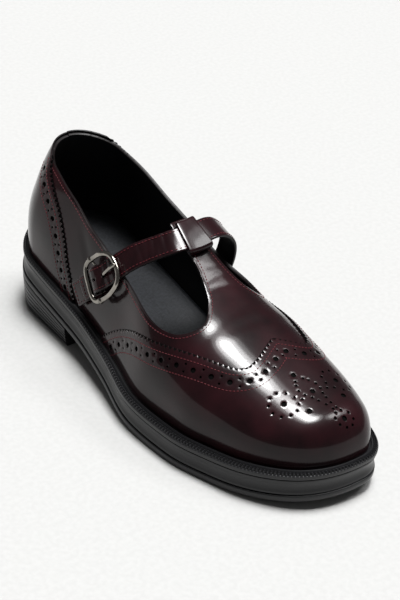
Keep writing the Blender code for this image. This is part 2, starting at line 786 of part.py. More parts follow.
def make_strap(look, shoe, cutters):
    """Long strap with the prong's slot and a spare hole."""
    start = BUCKLE_PLACE - FREE_END_LENGTH
    steps = [start + (ROUTE_LENGTH - start) * step / STRAP_STATIONS for step in range(STRAP_STATIONS + 1)]
    lower = [(distance, strap_lift(distance)) for distance in steps]
    upper = [(distance, lift + STRAP_WALL) for distance, lift in lower]
    strap = finish_object("strap", ribbon(lower, upper), look, shoe)
    for name, place, reach in (("prong_slot", HOLE_PLACE, SLOT_REACH), ("spare_hole", SPARE_HOLE_PLACE, 0.0)):
        middle = BUCKLE_PLACE + place
        low = strap_lift(middle) - 2 * STRAP_WALL
        drill = slot_drill(middle, reach, low, low + 5 * STRAP_WALL)
        combine(strap, make_cutter(name, drill, cutters), "DIFFERENCE")


def slot_drill(middle, reach, low, high):
    """Long round drill through the strap."""
    bm = bmesh.new()
    loops = []
    for lift in (low, high):
        ring = []
        for step in range(12):
            angle = 2 * math.pi * (step + 0.5) / 12
            along = math.cos(angle) * HOLE_RADIUS + math.copysign(reach, math.cos(angle))
            ring.append(bm.verts.new(strap_point(middle + along, math.sin(angle) * HOLE_RADIUS, lift)))
        loops.append(ring)
    join_loops(bm, loops)
    return bm


def make_short_strap(look, shoe, cutters):
    """Short strap on the outer quarter, folded round the buckle's bar."""
    steps = [BAR_PLACE * step / SHORT_STRAP_STATIONS for step in range(SHORT_STRAP_STATIONS)]
    lower = [(distance, STRAP_SEAT) for distance in steps]
    upper = [(distance, STRAP_SEAT + SHORT_STRAP_WALL) for distance in steps]
    for step in range(FOLD_STATIONS + 1):
        angle = math.radians(-90 + FOLD_DEGREES * step / FOLD_STATIONS)
        for face, radius in ((lower, FOLD_RADIUS), (upper, FOLD_RADIUS - SHORT_STRAP_WALL)):
            face.append((BAR_PLACE + radius * math.cos(angle), BAR_LIFT + radius * math.sin(angle)))
    piece = finish_object("buckle_strap", ribbon(lower, upper), look, shoe)
    combine(piece, make_cutter("fold_slot", fold_slot(), cutters), "DIFFERENCE")


def fold_slot():
    """Block that opens the fold for the prong's eye."""
    half = PRONG_SLOT_WIDTH / 2
    low, high = STRAP_SEAT - SHORT_STRAP_WALL, STRAP_SEAT + 4 * FOLD_RADIUS
    bm = bmesh.new()
    loops = []
    for distance in (BAR_PLACE - 1.3 * FOLD_RADIUS, BAR_PLACE + 2 * FOLD_RADIUS):
        corners = ((-half, low), (half, low), (half, high), (-half, high))
        loops.append([bm.verts.new(strap_point(distance, across, lift)) for across, lift in corners])
    join_loops(bm, loops)
    return bm


def make_frame(look, shoe, cutters):
    """Cast frame of the buckle: rounded towards the strap, squarer behind, with a low centre bar."""
    ring = []
    for step in range(FRAME_STATIONS):
        angle = 2 * math.pi * step / FRAME_STATIONS
        reach, width = math.cos(angle), math.sin(angle)
        power = FRAME_FRONT_POWER if reach > 0 else FRAME_BACK_POWER
        size = (abs(reach) ** power + abs(width) ** power) ** (-1.0 / power)
        ring.append((BUCKLE_PLACE + reach * size * (FRAME_LENGTH / 2 - FRAME_WIRE),
                     width * size * (FRAME_WIDTH / 2 - FRAME_WIRE), FRAME_LIFT))
    frame = finish_object("buckle_frame", tube(ring, FRAME_WIRE, TUBE_SIDES, closed=True), look, shoe)
    outer = FRAME_WIDTH / 2 - FRAME_WIRE
    inner = STRAP_WIDTH / 2 + 2 * FIT
    drop = [(BAR_PLACE, -outer, FRAME_LIFT), (BAR_PLACE, -inner - BAR_RADIUS, BAR_LIFT),
            (BAR_PLACE, inner + BAR_RADIUS, BAR_LIFT), (BAR_PLACE, outer, FRAME_LIFT)]
    bar = tube(drop, BAR_RADIUS, TUBE_SIDES)
    combine(frame, make_cutter("centre_bar", bar, cutters), "UNION")


def make_prong(look, shoe):
    """Prong: an eye over the bar, then up through the strap to rest on the frame."""
    eye = BAR_RADIUS + FIT + PRONG_RADIUS
    points = []
    for degrees in (200, 150, 100, 50):
        angle = math.radians(degrees)
        points.append((BAR_PLACE + eye * math.cos(angle), 0.0, BAR_LIFT + eye * math.sin(angle)))
    top = FRAME_LIFT + FRAME_WIRE + FIT + PRONG_RADIUS
    hole = BUCKLE_PLACE + HOLE_PLACE
    end = BUCKLE_PLACE + FRAME_LENGTH / 2 - FRAME_WIRE
    over = strap_lift(hole) + STRAP_WALL + FIT + PRONG_RADIUS
    points += [
        (hole - 2.3 * SLOT_REACH, 0.0, strap_lift(hole) - PRONG_RADIUS),
        (hole - 0.8 * SLOT_REACH, 0.0, strap_lift(hole)),
        (hole + 0.7 * SLOT_REACH, 0.0, over),
        (hole + 2.5 * SLOT_REACH, 0.0, (over + top) / 2),
        (end - 1.5 * FRAME_WIRE, 0.0, top),
        (end + FRAME_WIRE, 0.0, top),
    ]
    finish_object("buckle_prong", tube(points, PRONG_RADIUS, 6), look, shoe)


def make_loop(look, shoe):
    """Tunnel at the T-bar's end that the strap runs through."""
    half = LOOP_LENGTH / 2
    floor = STRAP_SEAT
    roof = floor + 2 * LOOP_WALL + STRAP_WALL + 2 * FIT
    turn = LOOP_WALL

    def outer(distance):
        corners = ((-half, floor + turn), (-half + turn, floor), (half - turn, floor), (half, floor + turn),
                   (half, roof - turn), (half - turn, roof), (-half + turn, roof), (-half, roof - turn))
        return [strap_point(distance, across, lift) for across, lift in corners]

    def inner(distance):
        side, low, high = half - LOOP_WALL, floor + LOOP_WALL, roof - LOOP_WALL
        near = LOOP_WALL / 2
        corners = ((-side, low + near), (-side + near, low), (side - near, low), (side, low + near),
                   (side, high - near), (side - near, high), (-side + near, high), (-side, high - near))
        return [strap_point(distance, across, lift) for across, lift in corners]

    steps = [LOOP_PLACE + TBAR_WIDTH * (share / 4 - 0.5) for share in range(5)]
    rings = [outer(step) for step in steps] + [inner(step) for step in reversed(steps)]
    finish_object("strap_loop", loft(rings, hollow=True), look, shoe)


def main():
    """Builds every piece of the shoe."""
    for old in list(bpy.data.objects):
        bpy.data.objects.remove(old)
    shoe = bpy.data.collections.new("t_bar_shoe")
    cutters = bpy.data.collections.new("cutters")
    for collection in (shoe, cutters):
        bpy.context.scene.collection.children.link(collection)
    rubber = make_look("black_sole_rubber", (0.012, 0.012, 0.013), 0.55)
    leather = make_look("oxblood_polished_leather", (0.045, 0.006, 0.010), 0.12)
    footbed = make_look("dark_grey_insole_leather", (0.035, 0.038, 0.045), 0.55)
    nickel = make_look("polished_nickel", (0.72, 0.69, 0.64), 0.10, metallic=1.0)
    finish_object("outsole", make_outsole(), rubber, shoe)
    finish_object("midsole", make_midsole(), rubber, shoe)
    finish_object("welt", make_welt(), rubber, shoe)
    finish_object("heel", make_heel(), rubber, shoe)
    finish_object("insole", make_insole(), footbed, shoe)
    finish_object("upper", make_upper(), leather, shoe)
    finish_object("wing_cap", make_wing_cap(), leather, shoe)
    finish_object("heel_counter", make_heel_counter(), leather, shoe)
    make_strap(leather, shoe, cutters)
    make_short_strap(leather, shoe, cutters)
    make_loop(leather, shoe)
    make_frame(nickel, shoe, cutters)
    make_prong(nickel, shoe)


main()
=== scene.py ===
# %% [markdown]
# # A right T-bar brogue shoe
#
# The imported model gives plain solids. This lesson dresses them as the real shoe: polished oxblood
# leather with punched and pinked edges, red thread, a nickel buckle and a ribbed black rubber sole.
# Every piece is made in metres, in the same frame as the solids: +Y from heel to toe, +X to the outer
# side of the foot, and the floor at zero.

# %% Load the frame
import math

import bmesh
import bpy
import numpy as np
from mathutils import Matrix, Vector
from mathutils.geometry import delaunay_2d_cdt
from mathutils.kdtree import KDTree


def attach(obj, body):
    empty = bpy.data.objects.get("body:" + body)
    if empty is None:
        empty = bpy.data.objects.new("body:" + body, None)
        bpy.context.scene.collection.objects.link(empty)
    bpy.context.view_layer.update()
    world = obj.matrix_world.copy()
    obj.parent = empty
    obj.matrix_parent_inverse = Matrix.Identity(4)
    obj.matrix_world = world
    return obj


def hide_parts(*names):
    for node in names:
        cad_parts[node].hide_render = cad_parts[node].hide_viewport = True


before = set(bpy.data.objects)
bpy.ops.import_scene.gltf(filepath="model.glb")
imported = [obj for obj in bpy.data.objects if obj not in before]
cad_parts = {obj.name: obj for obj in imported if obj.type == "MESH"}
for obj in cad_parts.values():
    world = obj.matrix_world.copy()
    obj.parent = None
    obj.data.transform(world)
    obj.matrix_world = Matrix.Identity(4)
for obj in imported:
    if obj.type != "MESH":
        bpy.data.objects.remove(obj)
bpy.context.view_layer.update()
MM = 0.001
print("solids:", ", ".join(sorted(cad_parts)))

# %% [markdown]
# ## Soft curves
#
# A shoemaker's last has no straight lines, so its sizes are given at a few places and read between
# them. A plain cubic curve through the points would swing past them. This one has slopes that never do,
# and a short running mean takes out the small kinks that a polished surface would show.


# %% A curve through given values
def soft_curve(places, values, softness=0.014, fine_count=1200):
    """Function of place that runs softly through the values; softness is a share of the whole run."""
    places, values = np.array(places, float), np.array(values, float)
    steps = np.diff(values) / np.diff(places)
    product, total = steps[:-1] * steps[1:], steps[:-1] + steps[1:]
    middle = np.divide(2.0 * product, total, out=np.zeros_like(total), where=product > 0.0)
    slopes = np.concatenate(([steps[0]], middle, [steps[-1]]))
    fine = np.linspace(places[0], places[-1], fine_count)
    i = np.clip(np.searchsorted(places, fine, side="right") - 1, 0, len(steps) - 1)
    span = places[i + 1] - places[i]
    t = (fine - places[i]) / span
    curve = (1 + 2 * t) * (1 - t) ** 2 * values[i] + t * (1 - t) ** 2 * slopes[i] * span
    curve += t * t * (3 - 2 * t) * values[i + 1] + t * t * (t - 1) * slopes[i + 1] * span
    if softness > 0.0:
        reach = int(3 * softness * fine_count)
        weights = np.exp(-0.5 * (np.arange(-reach, reach + 1) / (softness * fine_count)) ** 2)
        before = 2 * curve[0] - curve[reach:0:-1]
        after = 2 * curve[-1] - curve[-2:-reach - 2:-1]
        longer = np.concatenate((before, curve, after))
        curve = np.convolve(longer, weights / weights.sum(), mode="valid")
    return lambda place: np.interp(place, fine, curve)


# %% [markdown]
# ## The sole's outline
#
# Everything on a shoe follows the edge of its sole: the welt, the foot of the upper and the heel. So
# the outline comes first, as half widths from a centre line, with a round end at heel and toe. A place
# on it is a sweep from 0 at the heel to 1 at the toe, packed closer where the outline turns. The widths
# below are shares of the shoe's width, and each place is a share of its length.

# %% Outline of the sole
LENGTH, WIDTH = 270 * MM, 102 * MM
HEEL_ROUND, TOE_ROUND, TOE_POWER = 32 * MM, 54 * MM, 2.3
LEDGE = 7.6 * MM
SOLE_PLACES = [0.00, 0.13, 0.30, 0.45, 0.58, 0.70, 0.82, 0.92, 1.00]
sole_centre = soft_curve(SOLE_PLACES, [-0.042, -0.042, -0.042, -0.042, -0.042, -0.058, -0.094, -0.140,
                                       -0.187])
outer_half = soft_curve(SOLE_PLACES, [0.318, 0.370, 0.396, 0.466, 0.542, 0.548, 0.497, 0.475, 0.504])
inner_half = soft_curve(SOLE_PLACES, [0.318, 0.374, 0.350, 0.328, 0.413, 0.442, 0.399, 0.353, 0.290])
outer_ledge = soft_curve(SOLE_PLACES, [0.53, 0.60, 0.70, 0.80, 0.92, 1.00, 1.00, 0.96, 0.80])
inner_ledge = soft_curve(SOLE_PLACES, [0.53, 0.60, 0.70, 0.78, 0.84, 0.84, 0.82, 0.82, 0.80])


# %% From a sweep to a point on the outline
def round_end(distance, radius, power):
    """Share of the full width near a rounded end, from 0 at the tip to 1 at one radius."""
    share = np.clip(distance / radius, 0.0, 1.0)
    return (1.0 - (1.0 - share) ** power) ** (1.0 / power)


def share_at(sweep):
    """Share of the shoe's length for a sweep."""
    return (1.0 - np.cos(np.pi * np.clip(sweep, 0.0, 1.0))) / 2.0


def sweep_at(share):
    """Sweep for a share of the shoe's length."""
    return np.arccos(1.0 - 2.0 * np.clip(share, 0.0, 1.0)) / np.pi


def plain_edge(side, sweep):
    """Point on the outline; side is 1 for the outer side of the foot and -1 for the inner."""
    share = share_at(sweep)
    half = np.where(side > 0, outer_half(share), inner_half(share)) * WIDTH
    half = half * round_end(share * LENGTH, HEEL_ROUND, 2.0)
    half = half * round_end((1.0 - share) * LENGTH, TOE_ROUND, TOE_POWER)
    return np.stack((sole_centre(share) * WIDTH + side * half, (share - 0.5) * LENGTH), axis=-1)


# %% Middle of the outline
HUNDREDTHS = np.linspace(0.0, 1.0, 101)
OUTLINE_MIDDLE = (plain_edge(1, sweep_at(HUNDREDTHS))[:, 0].max()
                  + plain_edge(-1, sweep_at(HUNDREDTHS))[:, 0].min()) / 2.0


# %% Two small helpers for rows of vectors
def unit(rows):
    """Directions of vectors, at length one."""
    return rows / np.maximum(np.linalg.norm(rows, axis=-1, keepdims=True), 1e-12)


def walked(points):
    """Distance walked at each of many points in a row, from zero."""
    return np.concatenate(([0.0], np.cumsum(np.linalg.norm(np.diff(points, axis=0), axis=1))))


# %% Places inside the outline
def sole_edge(side, sweep, inset=0.0, ledges=0.0):
    """Point inside the outline by an inset and a number of ledge widths, square to the outline."""
    side, sweep = np.broadcast_arrays(np.asarray(side, float), np.asarray(sweep, float))
    step = 0.002
    after = plain_edge(side, np.minimum(sweep + step, 1.0))
    run = after - plain_edge(side, np.maximum(sweep - step, 0.0))
    outward = unit(side[..., None] * np.stack((run[..., 1], -run[..., 0]), axis=-1))
    outward = np.where((sweep <= 0.0)[..., None], [0.0, -1.0], outward)
    outward = np.where((sweep >= 1.0)[..., None], [0.0, 1.0], outward)
    share = share_at(sweep)
    ledge = np.where(side > 0, outer_ledge(share), inner_ledge(share)) * LEDGE
    inward = np.broadcast_to(inset + ledges * ledge, sweep.shape)
    return plain_edge(side, sweep) - [OUTLINE_MIDDLE, 0.0] - outward * inward[..., None]


print("sole outline:", round(WIDTH / MM), "by", round(LENGTH / MM), "mm")

# %% [markdown]
# ## The form of the foot
#
# Leather takes its shape from a last, a solid foot form. Here the last is one smooth function: a sweep
# from heel to toe and a turn from -1, the inner side of the sole, over the ridge at 0, to 1, the outer
# side. Any piece of leather can then be cut flat in sweep and turn, and laid on the last at its place.

# %% Heights under and over the foot
# Glued layers keep this small gap, so that no two of them share a face.
FIT = 0.3 * MM
OUTSOLE, MIDSOLE, WELT = 4.9 * MM, 10.2 * MM, 3.5 * MM
HEEL_BACK, HEEL_BREAST, TOE_SPRING = 25.7 * MM, 13.6 * MM, 6.5 * MM
INSTEP, COLLAR = 67 * MM, 63 * MM
BELLY, COLLAR_RAKE, HEEL_SWELL = 8 * MM, 11.5 * MM, 2.2 * MM
TOE_FRONT = 17 * MM
SQUARENESS = 2.7
under_height = soft_curve([0.00, 0.27, 0.42, 0.56, 0.64, 0.76, 0.88, 1.00],
                          [HEEL_BACK, HEEL_BREAST, 0.60 * HEEL_BREAST, 0.10 * HEEL_BREAST, 0.0, 0.0,
                           0.29 * TOE_SPRING, TOE_SPRING])
LAST_PLACES = [0.00, 0.12, 0.22, 0.31, 0.40, 0.50, 0.60, 0.70, 0.80, 0.90, 1.00]
ridge_height = soft_curve(LAST_PLACES, [1.06, 1.09, 1.16, 1.15, 1.11, 1.00, 0.84, 0.73, 0.59, 0.43, 0.32],
                          0.02)
ridge_share = soft_curve(LAST_PLACES, [0.50, 0.50, 0.46, 0.40, 0.35, 0.36, 0.39, 0.41, 0.41, 0.41, 0.41],
                         0.03)
outer_belly = soft_curve(LAST_PLACES, [0.00, 0.25, -0.10, -0.45, -0.60, -0.35, 0.05, 0.22, 0.22, 0.20, 0.00],
                         0.03)
inner_belly = soft_curve(LAST_PLACES, [0.00, 0.25, 0.35, 0.55, 0.75, 0.80, 0.60, 0.40, 0.25, 0.10, 0.00],
                         0.03)


def underside(y):
    """Height of the sole's underside above the floor."""
    return under_height(np.clip(y / LENGTH + 0.5, 0.0, 1.0))


def welt_top(y):
    """Height of the ledge that the upper stands on."""
    return underside(y) + OUTSOLE + MIDSOLE + WELT


# %% The last itself
def last_point(sweep, turn):
    """Point of the last: a squarish arch over the sole, with the heel's rake and swell."""
    sweep, turn = np.broadcast_arrays(np.asarray(sweep, float), np.asarray(turn, float))
    share = share_at(sweep)
    outer, inner = sole_edge(1, sweep, 0.0, 1.0), sole_edge(-1, sweep, 0.0, 1.0)
    ridge = inner + (outer - inner) * ridge_share(share)[..., None]
    foot = np.where((turn > 0)[..., None], outer, inner)
    angle = (1.0 - np.abs(turn)) * np.pi / 2
    reach, rise = np.abs(np.cos(angle)), np.abs(np.sin(angle))
    size = (reach ** SQUARENESS + rise ** SQUARENESS) ** (-1.0 / SQUARENESS)
    reach, rise = reach * size, rise * size
    point = ridge + (foot - ridge) * reach[..., None]
    toe_tip = sole_edge(1, 1.0, 0.0, 1.0)[1]
    front = round_end(toe_tip - ridge[..., 1], TOE_FRONT, 2.2)
    ends = front * round_end(share * LENGTH, HEEL_ROUND, 2.0)
    belly = np.where(turn > 0, outer_belly(share), inner_belly(share)) * BELLY
    point[..., 0] += np.sign(turn) * belly * ends * np.sin(np.pi * rise) ** 2 * reach
    height = rise * ridge_height(share) * INSTEP * front
    fade = np.clip(1.0 - share / 0.30, 0.0, 1.0) ** 2
    level = np.clip(height / COLLAR, 0.0, 1.2)
    swell = np.sin(np.pi * np.clip(level / 0.65, 0.0, 1.0))
    point[..., 1] += fade * (COLLAR_RAKE * level ** 1.8 - HEEL_SWELL * swell)
    return np.concatenate((point, (welt_top(ridge[..., 1]) + FIT + height)[..., None]), axis=-1)


# %% Directions on the last
def last_frame(sweep, turn):
    """Point of the last, how it moves with sweep and with turn, and its outward direction."""
    step = 0.001
    sweep, turn = np.asarray(sweep, float), np.asarray(turn, float)
    # The last is pinched to a point at its two ends, so directions are read just beside them.
    calm = np.clip(sweep, 0.006, 0.994)
    along = (last_point(calm + step, turn) - last_point(calm - step, turn)) / (2 * step)
    low, high = np.clip(turn - step, -1, 1), np.clip(turn + step, -1, 1)
    across = (last_point(calm, high) - last_point(calm, low)) / (high - low)[..., None]
    return last_point(sweep, turn), along, across, unit(np.cross(across, along))


def step_on_last(sweep, turn, offset):
    """Sweep and turn after a step on the last's surface by offset, a vector in metres."""
    _, along, across, _ = last_frame(sweep, turn)
    e, f, g = (along * along).sum(-1), (along * across).sum(-1), (across * across).sum(-1)
    a, b = (along * offset).sum(-1), (across * offset).sum(-1)
    det = e * g - f * f
    return sweep + (g * a - f * b) / det, turn + (e * b - f * a) / det


top_of_ridge = last_point(np.array(0.5), np.array(0.0))
print("ridge of the last at mid length:", np.round(top_of_ridge / MM, 1), "mm")

# %% [markdown]
# ## Lines on the last
#
# Seams, punched rows and edges all run beside each other, so one line is drawn for each edge of a
# piece, and the others are that line moved sideways on the surface. Moving it past a sharp bend folds it
# over itself, so points that end up too near the first line are dropped.


# %% Even spacing and parallel lines
def even_walk(line, pitch, closed=False):
    """The line again, with its points one pitch apart on the last."""
    if closed:
        line = np.vstack((line, line[:1]))
    run = walked(last_point(line[:, 0], line[:, 1]))
    count = max(int(round(run[-1] / pitch)), 2)
    targets = np.linspace(0.0, run[-1], count + 1)[:count if closed else count + 1]
    return np.stack([np.interp(targets, run, line[:, i]) for i in (0, 1)], axis=1)


# %% Lines beside a line
def sideways(line):
    """Directions square to the line on the last, to the left of someone who walks along it."""
    points, _, _, outward = last_frame(line[:, 0], line[:, 1])
    return unit(np.cross(outward, np.gradient(points, axis=0)))


def move_line(line, distance, tidy=True):
    """The line moved sideways on the last, positive to the left."""
    steps = 4
    sweep, turn = line[:, 0].copy(), line[:, 1].copy()
    left = sideways(line)
    for _ in range(steps):
        sweep, turn = step_on_last(sweep, turn, left * distance / steps)
    moved = np.stack((np.clip(sweep, 0.0, 1.0), np.clip(turn, -1.0, 1.0)), axis=1)
    if not tidy:
        return moved
    first, now = last_point(line[:, 0], line[:, 1]), last_point(moved[:, 0], moved[:, 1])
    gaps = np.sqrt(((now[:, None, :] - first[None, :, :]) ** 2).sum(-1)).min(axis=1)
    return moved[gaps > 0.94 * abs(distance)]


def teeth(line, pitch, depth):
    """Pinked edge: a valley at each pitch of the line, and a tip between them, to the left."""
    even = even_walk(line, pitch / 2)
    tips = move_line(even, depth, tidy=False)
    even[1::2] = tips[1::2]
    return even


# %% [markdown]
# ## Cutting leather
#
# A shoemaker cuts a panel flat, punches its holes, and then stretches it over the last. The panel here
# is made the same way. Its outline and its holes are closed lines in sweep and turn. Between them lies
# an even field of points, and Blender's constrained Delaunay function joins everything with triangles
# that respect every cut. A grid with a Boolean would leave ragged triangles round more than 170 small
# holes, which a polished surface would show.

# %% Points of a panel's outline and of its field
# A step of one in sweep and in turn is about this many millimetres on the last, so triangles stay even.
FLAT = np.array([380.0, 84.0])
PANEL_SPACING = 1.5


def clean_loop(loop, longest):
    """Loop without points on top of each other, and with no side longer than a length."""
    kept = [loop[0]]
    for point in loop[1:]:
        if np.linalg.norm(point - kept[-1]) > 0.02:
            kept.append(point)
    if np.linalg.norm(kept[0] - kept[-1]) < 0.02:
        kept.pop()
    dense = []
    for here, there in zip(kept, kept[1:] + kept[:1]):
        count = math.ceil(np.linalg.norm(there - here) / longest)
        dense += [here + (there - here) * k / count for k in range(count)]
    return np.array(dense)


# %% The even field between the cuts
def tree_of(points):
    """Search tree for flat points."""
    tree = KDTree(len(points))
    for i, point in enumerate(points):
        tree.insert((point[0], point[1], 0.0), i)
    tree.balance()
    return tree


def field_points(loops, spacing):
    """Even field of points inside the outline's box, clear of every edge and out of every hole."""
    near = tree_of(np.vstack(loops))
    middles = [loop.mean(axis=0) for loop in loops[1:]]
    sizes = [np.linalg.norm(loop - middle, axis=1).max() for loop, middle in zip(loops[1:], middles)]
    punched = tree_of(middles)
    low, high = loops[0].min(axis=0), loops[0].max(axis=0)
    field = []
    row_height = spacing * math.sqrt(3) / 2
    for row in range(1, int((high[1] - low[1]) / row_height) + 1):
        for column in range(int((high[0] - low[0]) / spacing) + 1):
            point = (low[0] + (column + 0.5 * (row % 2)) * spacing, low[1] + row * row_height)
            _, hole, distance = punched.find((point[0], point[1], 0.0))
            in_hole = hole is not None and distance < sizes[hole]
            if near.find((point[0], point[1], 0.0))[2] > 0.6 * spacing and not in_hole:
                field.append(point)
    return field


# %% Triangles of a panel
def cut_flat(loops, spacing):
    """Points and triangles of a flat panel whose first loop is its outline and the others its holes."""
    loops = [clean_loop(loop, 0.85 * spacing) for loop in loops]
    points = [Vector(point) for point in np.vstack(loops).tolist() + field_points(loops, spacing)]
    edges, start, owner = [], 0, {}
    for k, loop in enumerate(loops):
        edges += [(start + i, start + (i + 1) % len(loop)) for i in range(len(loop))]
        owner.update({start + i: k for i in range(len(loop))})
        start += len(loop)
    made = delaunay_2d_cdt(points, edges, [], 1, 1e-6)
    # A triangle with all three corners on one hole's loop fills that hole, so it is left out.
    owners = [owner.get(first[0], -1) if first else -1 for first in made[3]]
    kept = [face for face in made[2]
            if not (owners[face[0]] > 0 and owners[face[0]] == owners[face[1]] == owners[face[2]])]
    return np.array([tuple(point) for point in made[0]]), kept


# %% Round holes on the last
def circle_on_last(sweep, turn, radius, sides=12):
    """Closed line round a place on the last."""
    _, along, _, outward = last_frame(sweep, turn)
    first = unit(along)
    second = np.cross(outward, first)
    angles = 2 * np.pi * np.arange(sides) / sides
    offsets = radius * (np.cos(angles)[:, None] * first + np.sin(angles)[:, None] * second)
    ring = step_on_last(np.full(sides, sweep), np.full(sides, turn), offsets)
    return np.stack(ring, axis=1)


# %% From a bmesh to a finished piece
def bmesh_from(points, faces):
    """New bmesh from points and faces."""
    mesh = bpy.data.meshes.new("sheet")
    mesh.from_pydata(points.tolist(), [], [tuple(face) for face in faces])
    bm = bmesh.new()
    bm.from_mesh(mesh)
    bpy.data.meshes.remove(mesh)
    return bm


def drop_loose(bm):
    """Removes points that no face uses."""
    bmesh.ops.delete(bm, geom=[vert for vert in bm.verts if not vert.link_faces], context="VERTS")


def turn_out(bm, outward):
    """Faces of an open sheet all one way, and that way outward."""
    bmesh.ops.recalc_face_normals(bm, faces=bm.faces)
    bm.normal_update()
    if sum(face.normal.dot(Vector(outward)) * face.calc_area() for face in bm.faces) < 0.0:
        bmesh.ops.reverse_faces(bm, faces=bm.faces)
        bm.normal_update()


# %% Naming a piece and giving it its materials
def mesh_piece(name, bm, looks, slot, *nodes, crisp=180):
    """Object from a bmesh with its materials, riding on the shoe and standing for its solids; edges that
    bend more than crisp degrees stay sharp."""
    for edge in bm.edges:
        edge.smooth = edge.calc_face_angle(0.0) < math.radians(crisp)
    mesh = bpy.data.meshes.new(name)
    for face in bm.faces:
        face.smooth = True
    bm.to_mesh(mesh)
    bm.free()
    for look in looks:
        mesh.materials.append(look)
    piece = bpy.data.objects.new(name, mesh)
    bpy.context.scene.collection.objects.link(piece)
    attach(piece, "root")
    if nodes:
        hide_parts(*nodes)
    print(name, len(mesh.vertices), "points")
    return piece


# %% [markdown]
# ## Finishes
#
# Oxblood leather for such shoes is cowhide, dyed dark wine red and sealed with a hard gloss coat that is
# brushed and polished. It reads as two layers: a dark red body that scatters a little light, and a clear
# coat that mirrors the studio. Two mixed shaders could give that, but the Principled shader has a coat of
# its own, and it outlives an export. Colours are sRGB hex values, as on a dyer's card, and patterns have
# real sizes in millimetres.


# %% Colours and one helper for nodes
def from_hex(text):
    """Linear colour from an sRGB hex value."""
    shares = [int(text[i:i + 2], 16) / 255 for i in (0, 2, 4)]
    return tuple(c / 12.92 if c <= 0.04045 else ((c + 0.055) / 1.055) ** 2.4 for c in shares) + (1.0,)


def add_node(tree, kind, inputs=None, **settings):
    """Adds a node with its settings; an input is a value or the socket that feeds it."""
    node = tree.nodes.new(kind)
    for name, value in settings.items():
        setattr(node, name, value)
    for name, value in (inputs or {}).items():
        if isinstance(value, bpy.types.NodeSocket):
            tree.links.new(value, node.inputs[name])
        else:
            node.inputs[name].default_value = value
    return node


# %% [markdown]
# Every finish here is made the same way. Layers of noise give its unevenness, each with the size of its
# blobs and the depth of its relief. The first layer also drifts the colour, darker in its hollows.


# %% A finish from layers of noise
def finish(name, dark, light, layers, drift=(0.35, 0.65), **sockets):
    """Material with a colour between two hex values; a layer is size and depth in mm, and detail. The
    sockets are the shader's plain values, by name with _ for a space."""
    material = bpy.data.materials.new(name)
    material.use_nodes = True
    tree = material.node_tree
    shader = tree.nodes["Principled BSDF"]
    for socket, value in sockets.items():
        shader.inputs[socket.replace("_", " ")].default_value = value
    place = add_node(tree, "ShaderNodeTexCoord").outputs["Object"]
    normal = None
    for k, (size, depth, detail) in enumerate(layers):
        inputs = {"Vector": place, "Scale": 1.0 / (size * MM), "Detail": detail}
        noise = add_node(tree, "ShaderNodeTexNoise", inputs).outputs["Fac"]
        if k == 0:
            ramp = add_node(tree, "ShaderNodeValToRGB", {"Fac": noise})
            for element, position, colour in zip(ramp.color_ramp.elements, drift, (dark, light)):
                element.position = position
                element.color = from_hex(colour)
            tree.links.new(ramp.outputs["Color"], shader.inputs["Base Color"])
        if depth:
            inputs = {"Height": noise, "Distance": depth * MM, "Strength": 1.0}
            if normal:
                inputs["Normal"] = normal
            normal = add_node(tree, "ShaderNodeBump", inputs).outputs["Normal"]
    tree.links.new(normal, shader.inputs["Normal"])
    return material


# %% Leathers
# Polished cowhide: a thin clear coat gives sharp glare, and pores of about 0.5 mm and a soft 9 mm
# unevenness break it up. The dye drifts over clouds of 22 mm. Lacquer has an IOR of about 1.5, and a lower
# one is matched to how little of the floor the real shoe mirrors.
OXBLOOD = finish("polished_oxblood_leather", "110507", "200A0E",
                 [(22.0, 0.0, 3.0), (9.0, 0.10, 1.0), (2.4, 0.035, 2.0), (0.55, 0.012, 3.0)], (0.35, 0.68),
                 Roughness=0.40, Specular_IOR_Level=0.05, Coat_Weight=1.0, Coat_Roughness=0.11, Coat_IOR=1.28)
# Dyed pigskin lining: matt and a little rough, so the inside of the shoe sinks into black.
LINING = finish("black_lining_leather", "08080A", "101012", [(0.8, 0.05, 3.0)], Roughness=0.7, IOR=1.3)
# Cut edges, painted with a wax ink: satin, and darker than the face, so each layer gets a thin outline.
CUT_EDGE = finish("black_painted_edge", "050303", "0E0607", [(0.5, 0.03, 3.0)], Roughness=0.45, IOR=1.3)
# Rolled footbed leather: a slate grey satin with a 1.4 mm grain, drawn a little coarse so that it shows.
FOOTBED = finish("slate_footbed_leather", "0E1013", "1A1C20", [(1.4, 0.10, 3.0)], Roughness=0.48, IOR=1.3)
# A near-black sheet of painted shade under the punched holes and the pinked teeth: nearly without gloss, so
# punched holes look deep.
PAINTED_SHADE_SHEET = finish("black_painted_shade_sheet", "010101", "030303", [(0.9, 0.03, 3.0)], Roughness=0.85, IOR=1.15)
# Waxed polyester thread: brighter red than the leather, with a soft shine on each stitch.
THREAD = finish("waxed_wine_red_thread", "3E0B12", "5A111B", [(0.3, 0.05, 3.0)], Roughness=0.5, IOR=1.35)

# %% Rubber and nickel
# Moulded rubber: a satin black that shows its rounded edges as soft grey lines.
RUBBER = finish("moulded_black_rubber", "111113", "1B1B1D", [(0.7, 0.05, 3.0)], Roughness=0.36, IOR=1.42)
# The same rubber down in the gaps between the ribs: rougher, and painted near black as shade, so that the
# ribs stand out.
RUBBER_PAINTED_SHADE = finish("rubber_with_painted_gap_shade", "000000", "020202", [(0.7, 0.03, 3.0)], Roughness=0.8, IOR=1.2)
# Nickel plate on cast zinc, tumbled smooth: a warm grey mirror, very slightly blurred.
NICKEL = finish("polished_nickel", "7C7872", "9B968F", [(6.0, 0.01, 3.0)], Roughness=0.12, Metallic=1.0)
LOOKS = [OXBLOOD, LINING, CUT_EDGE, FOOTBED, PAINTED_SHADE_SHEET, THREAD, RUBBER, RUBBER_PAINTED_SHADE, NICKEL]
print("finishes:", ", ".join(look.name for look in LOOKS))
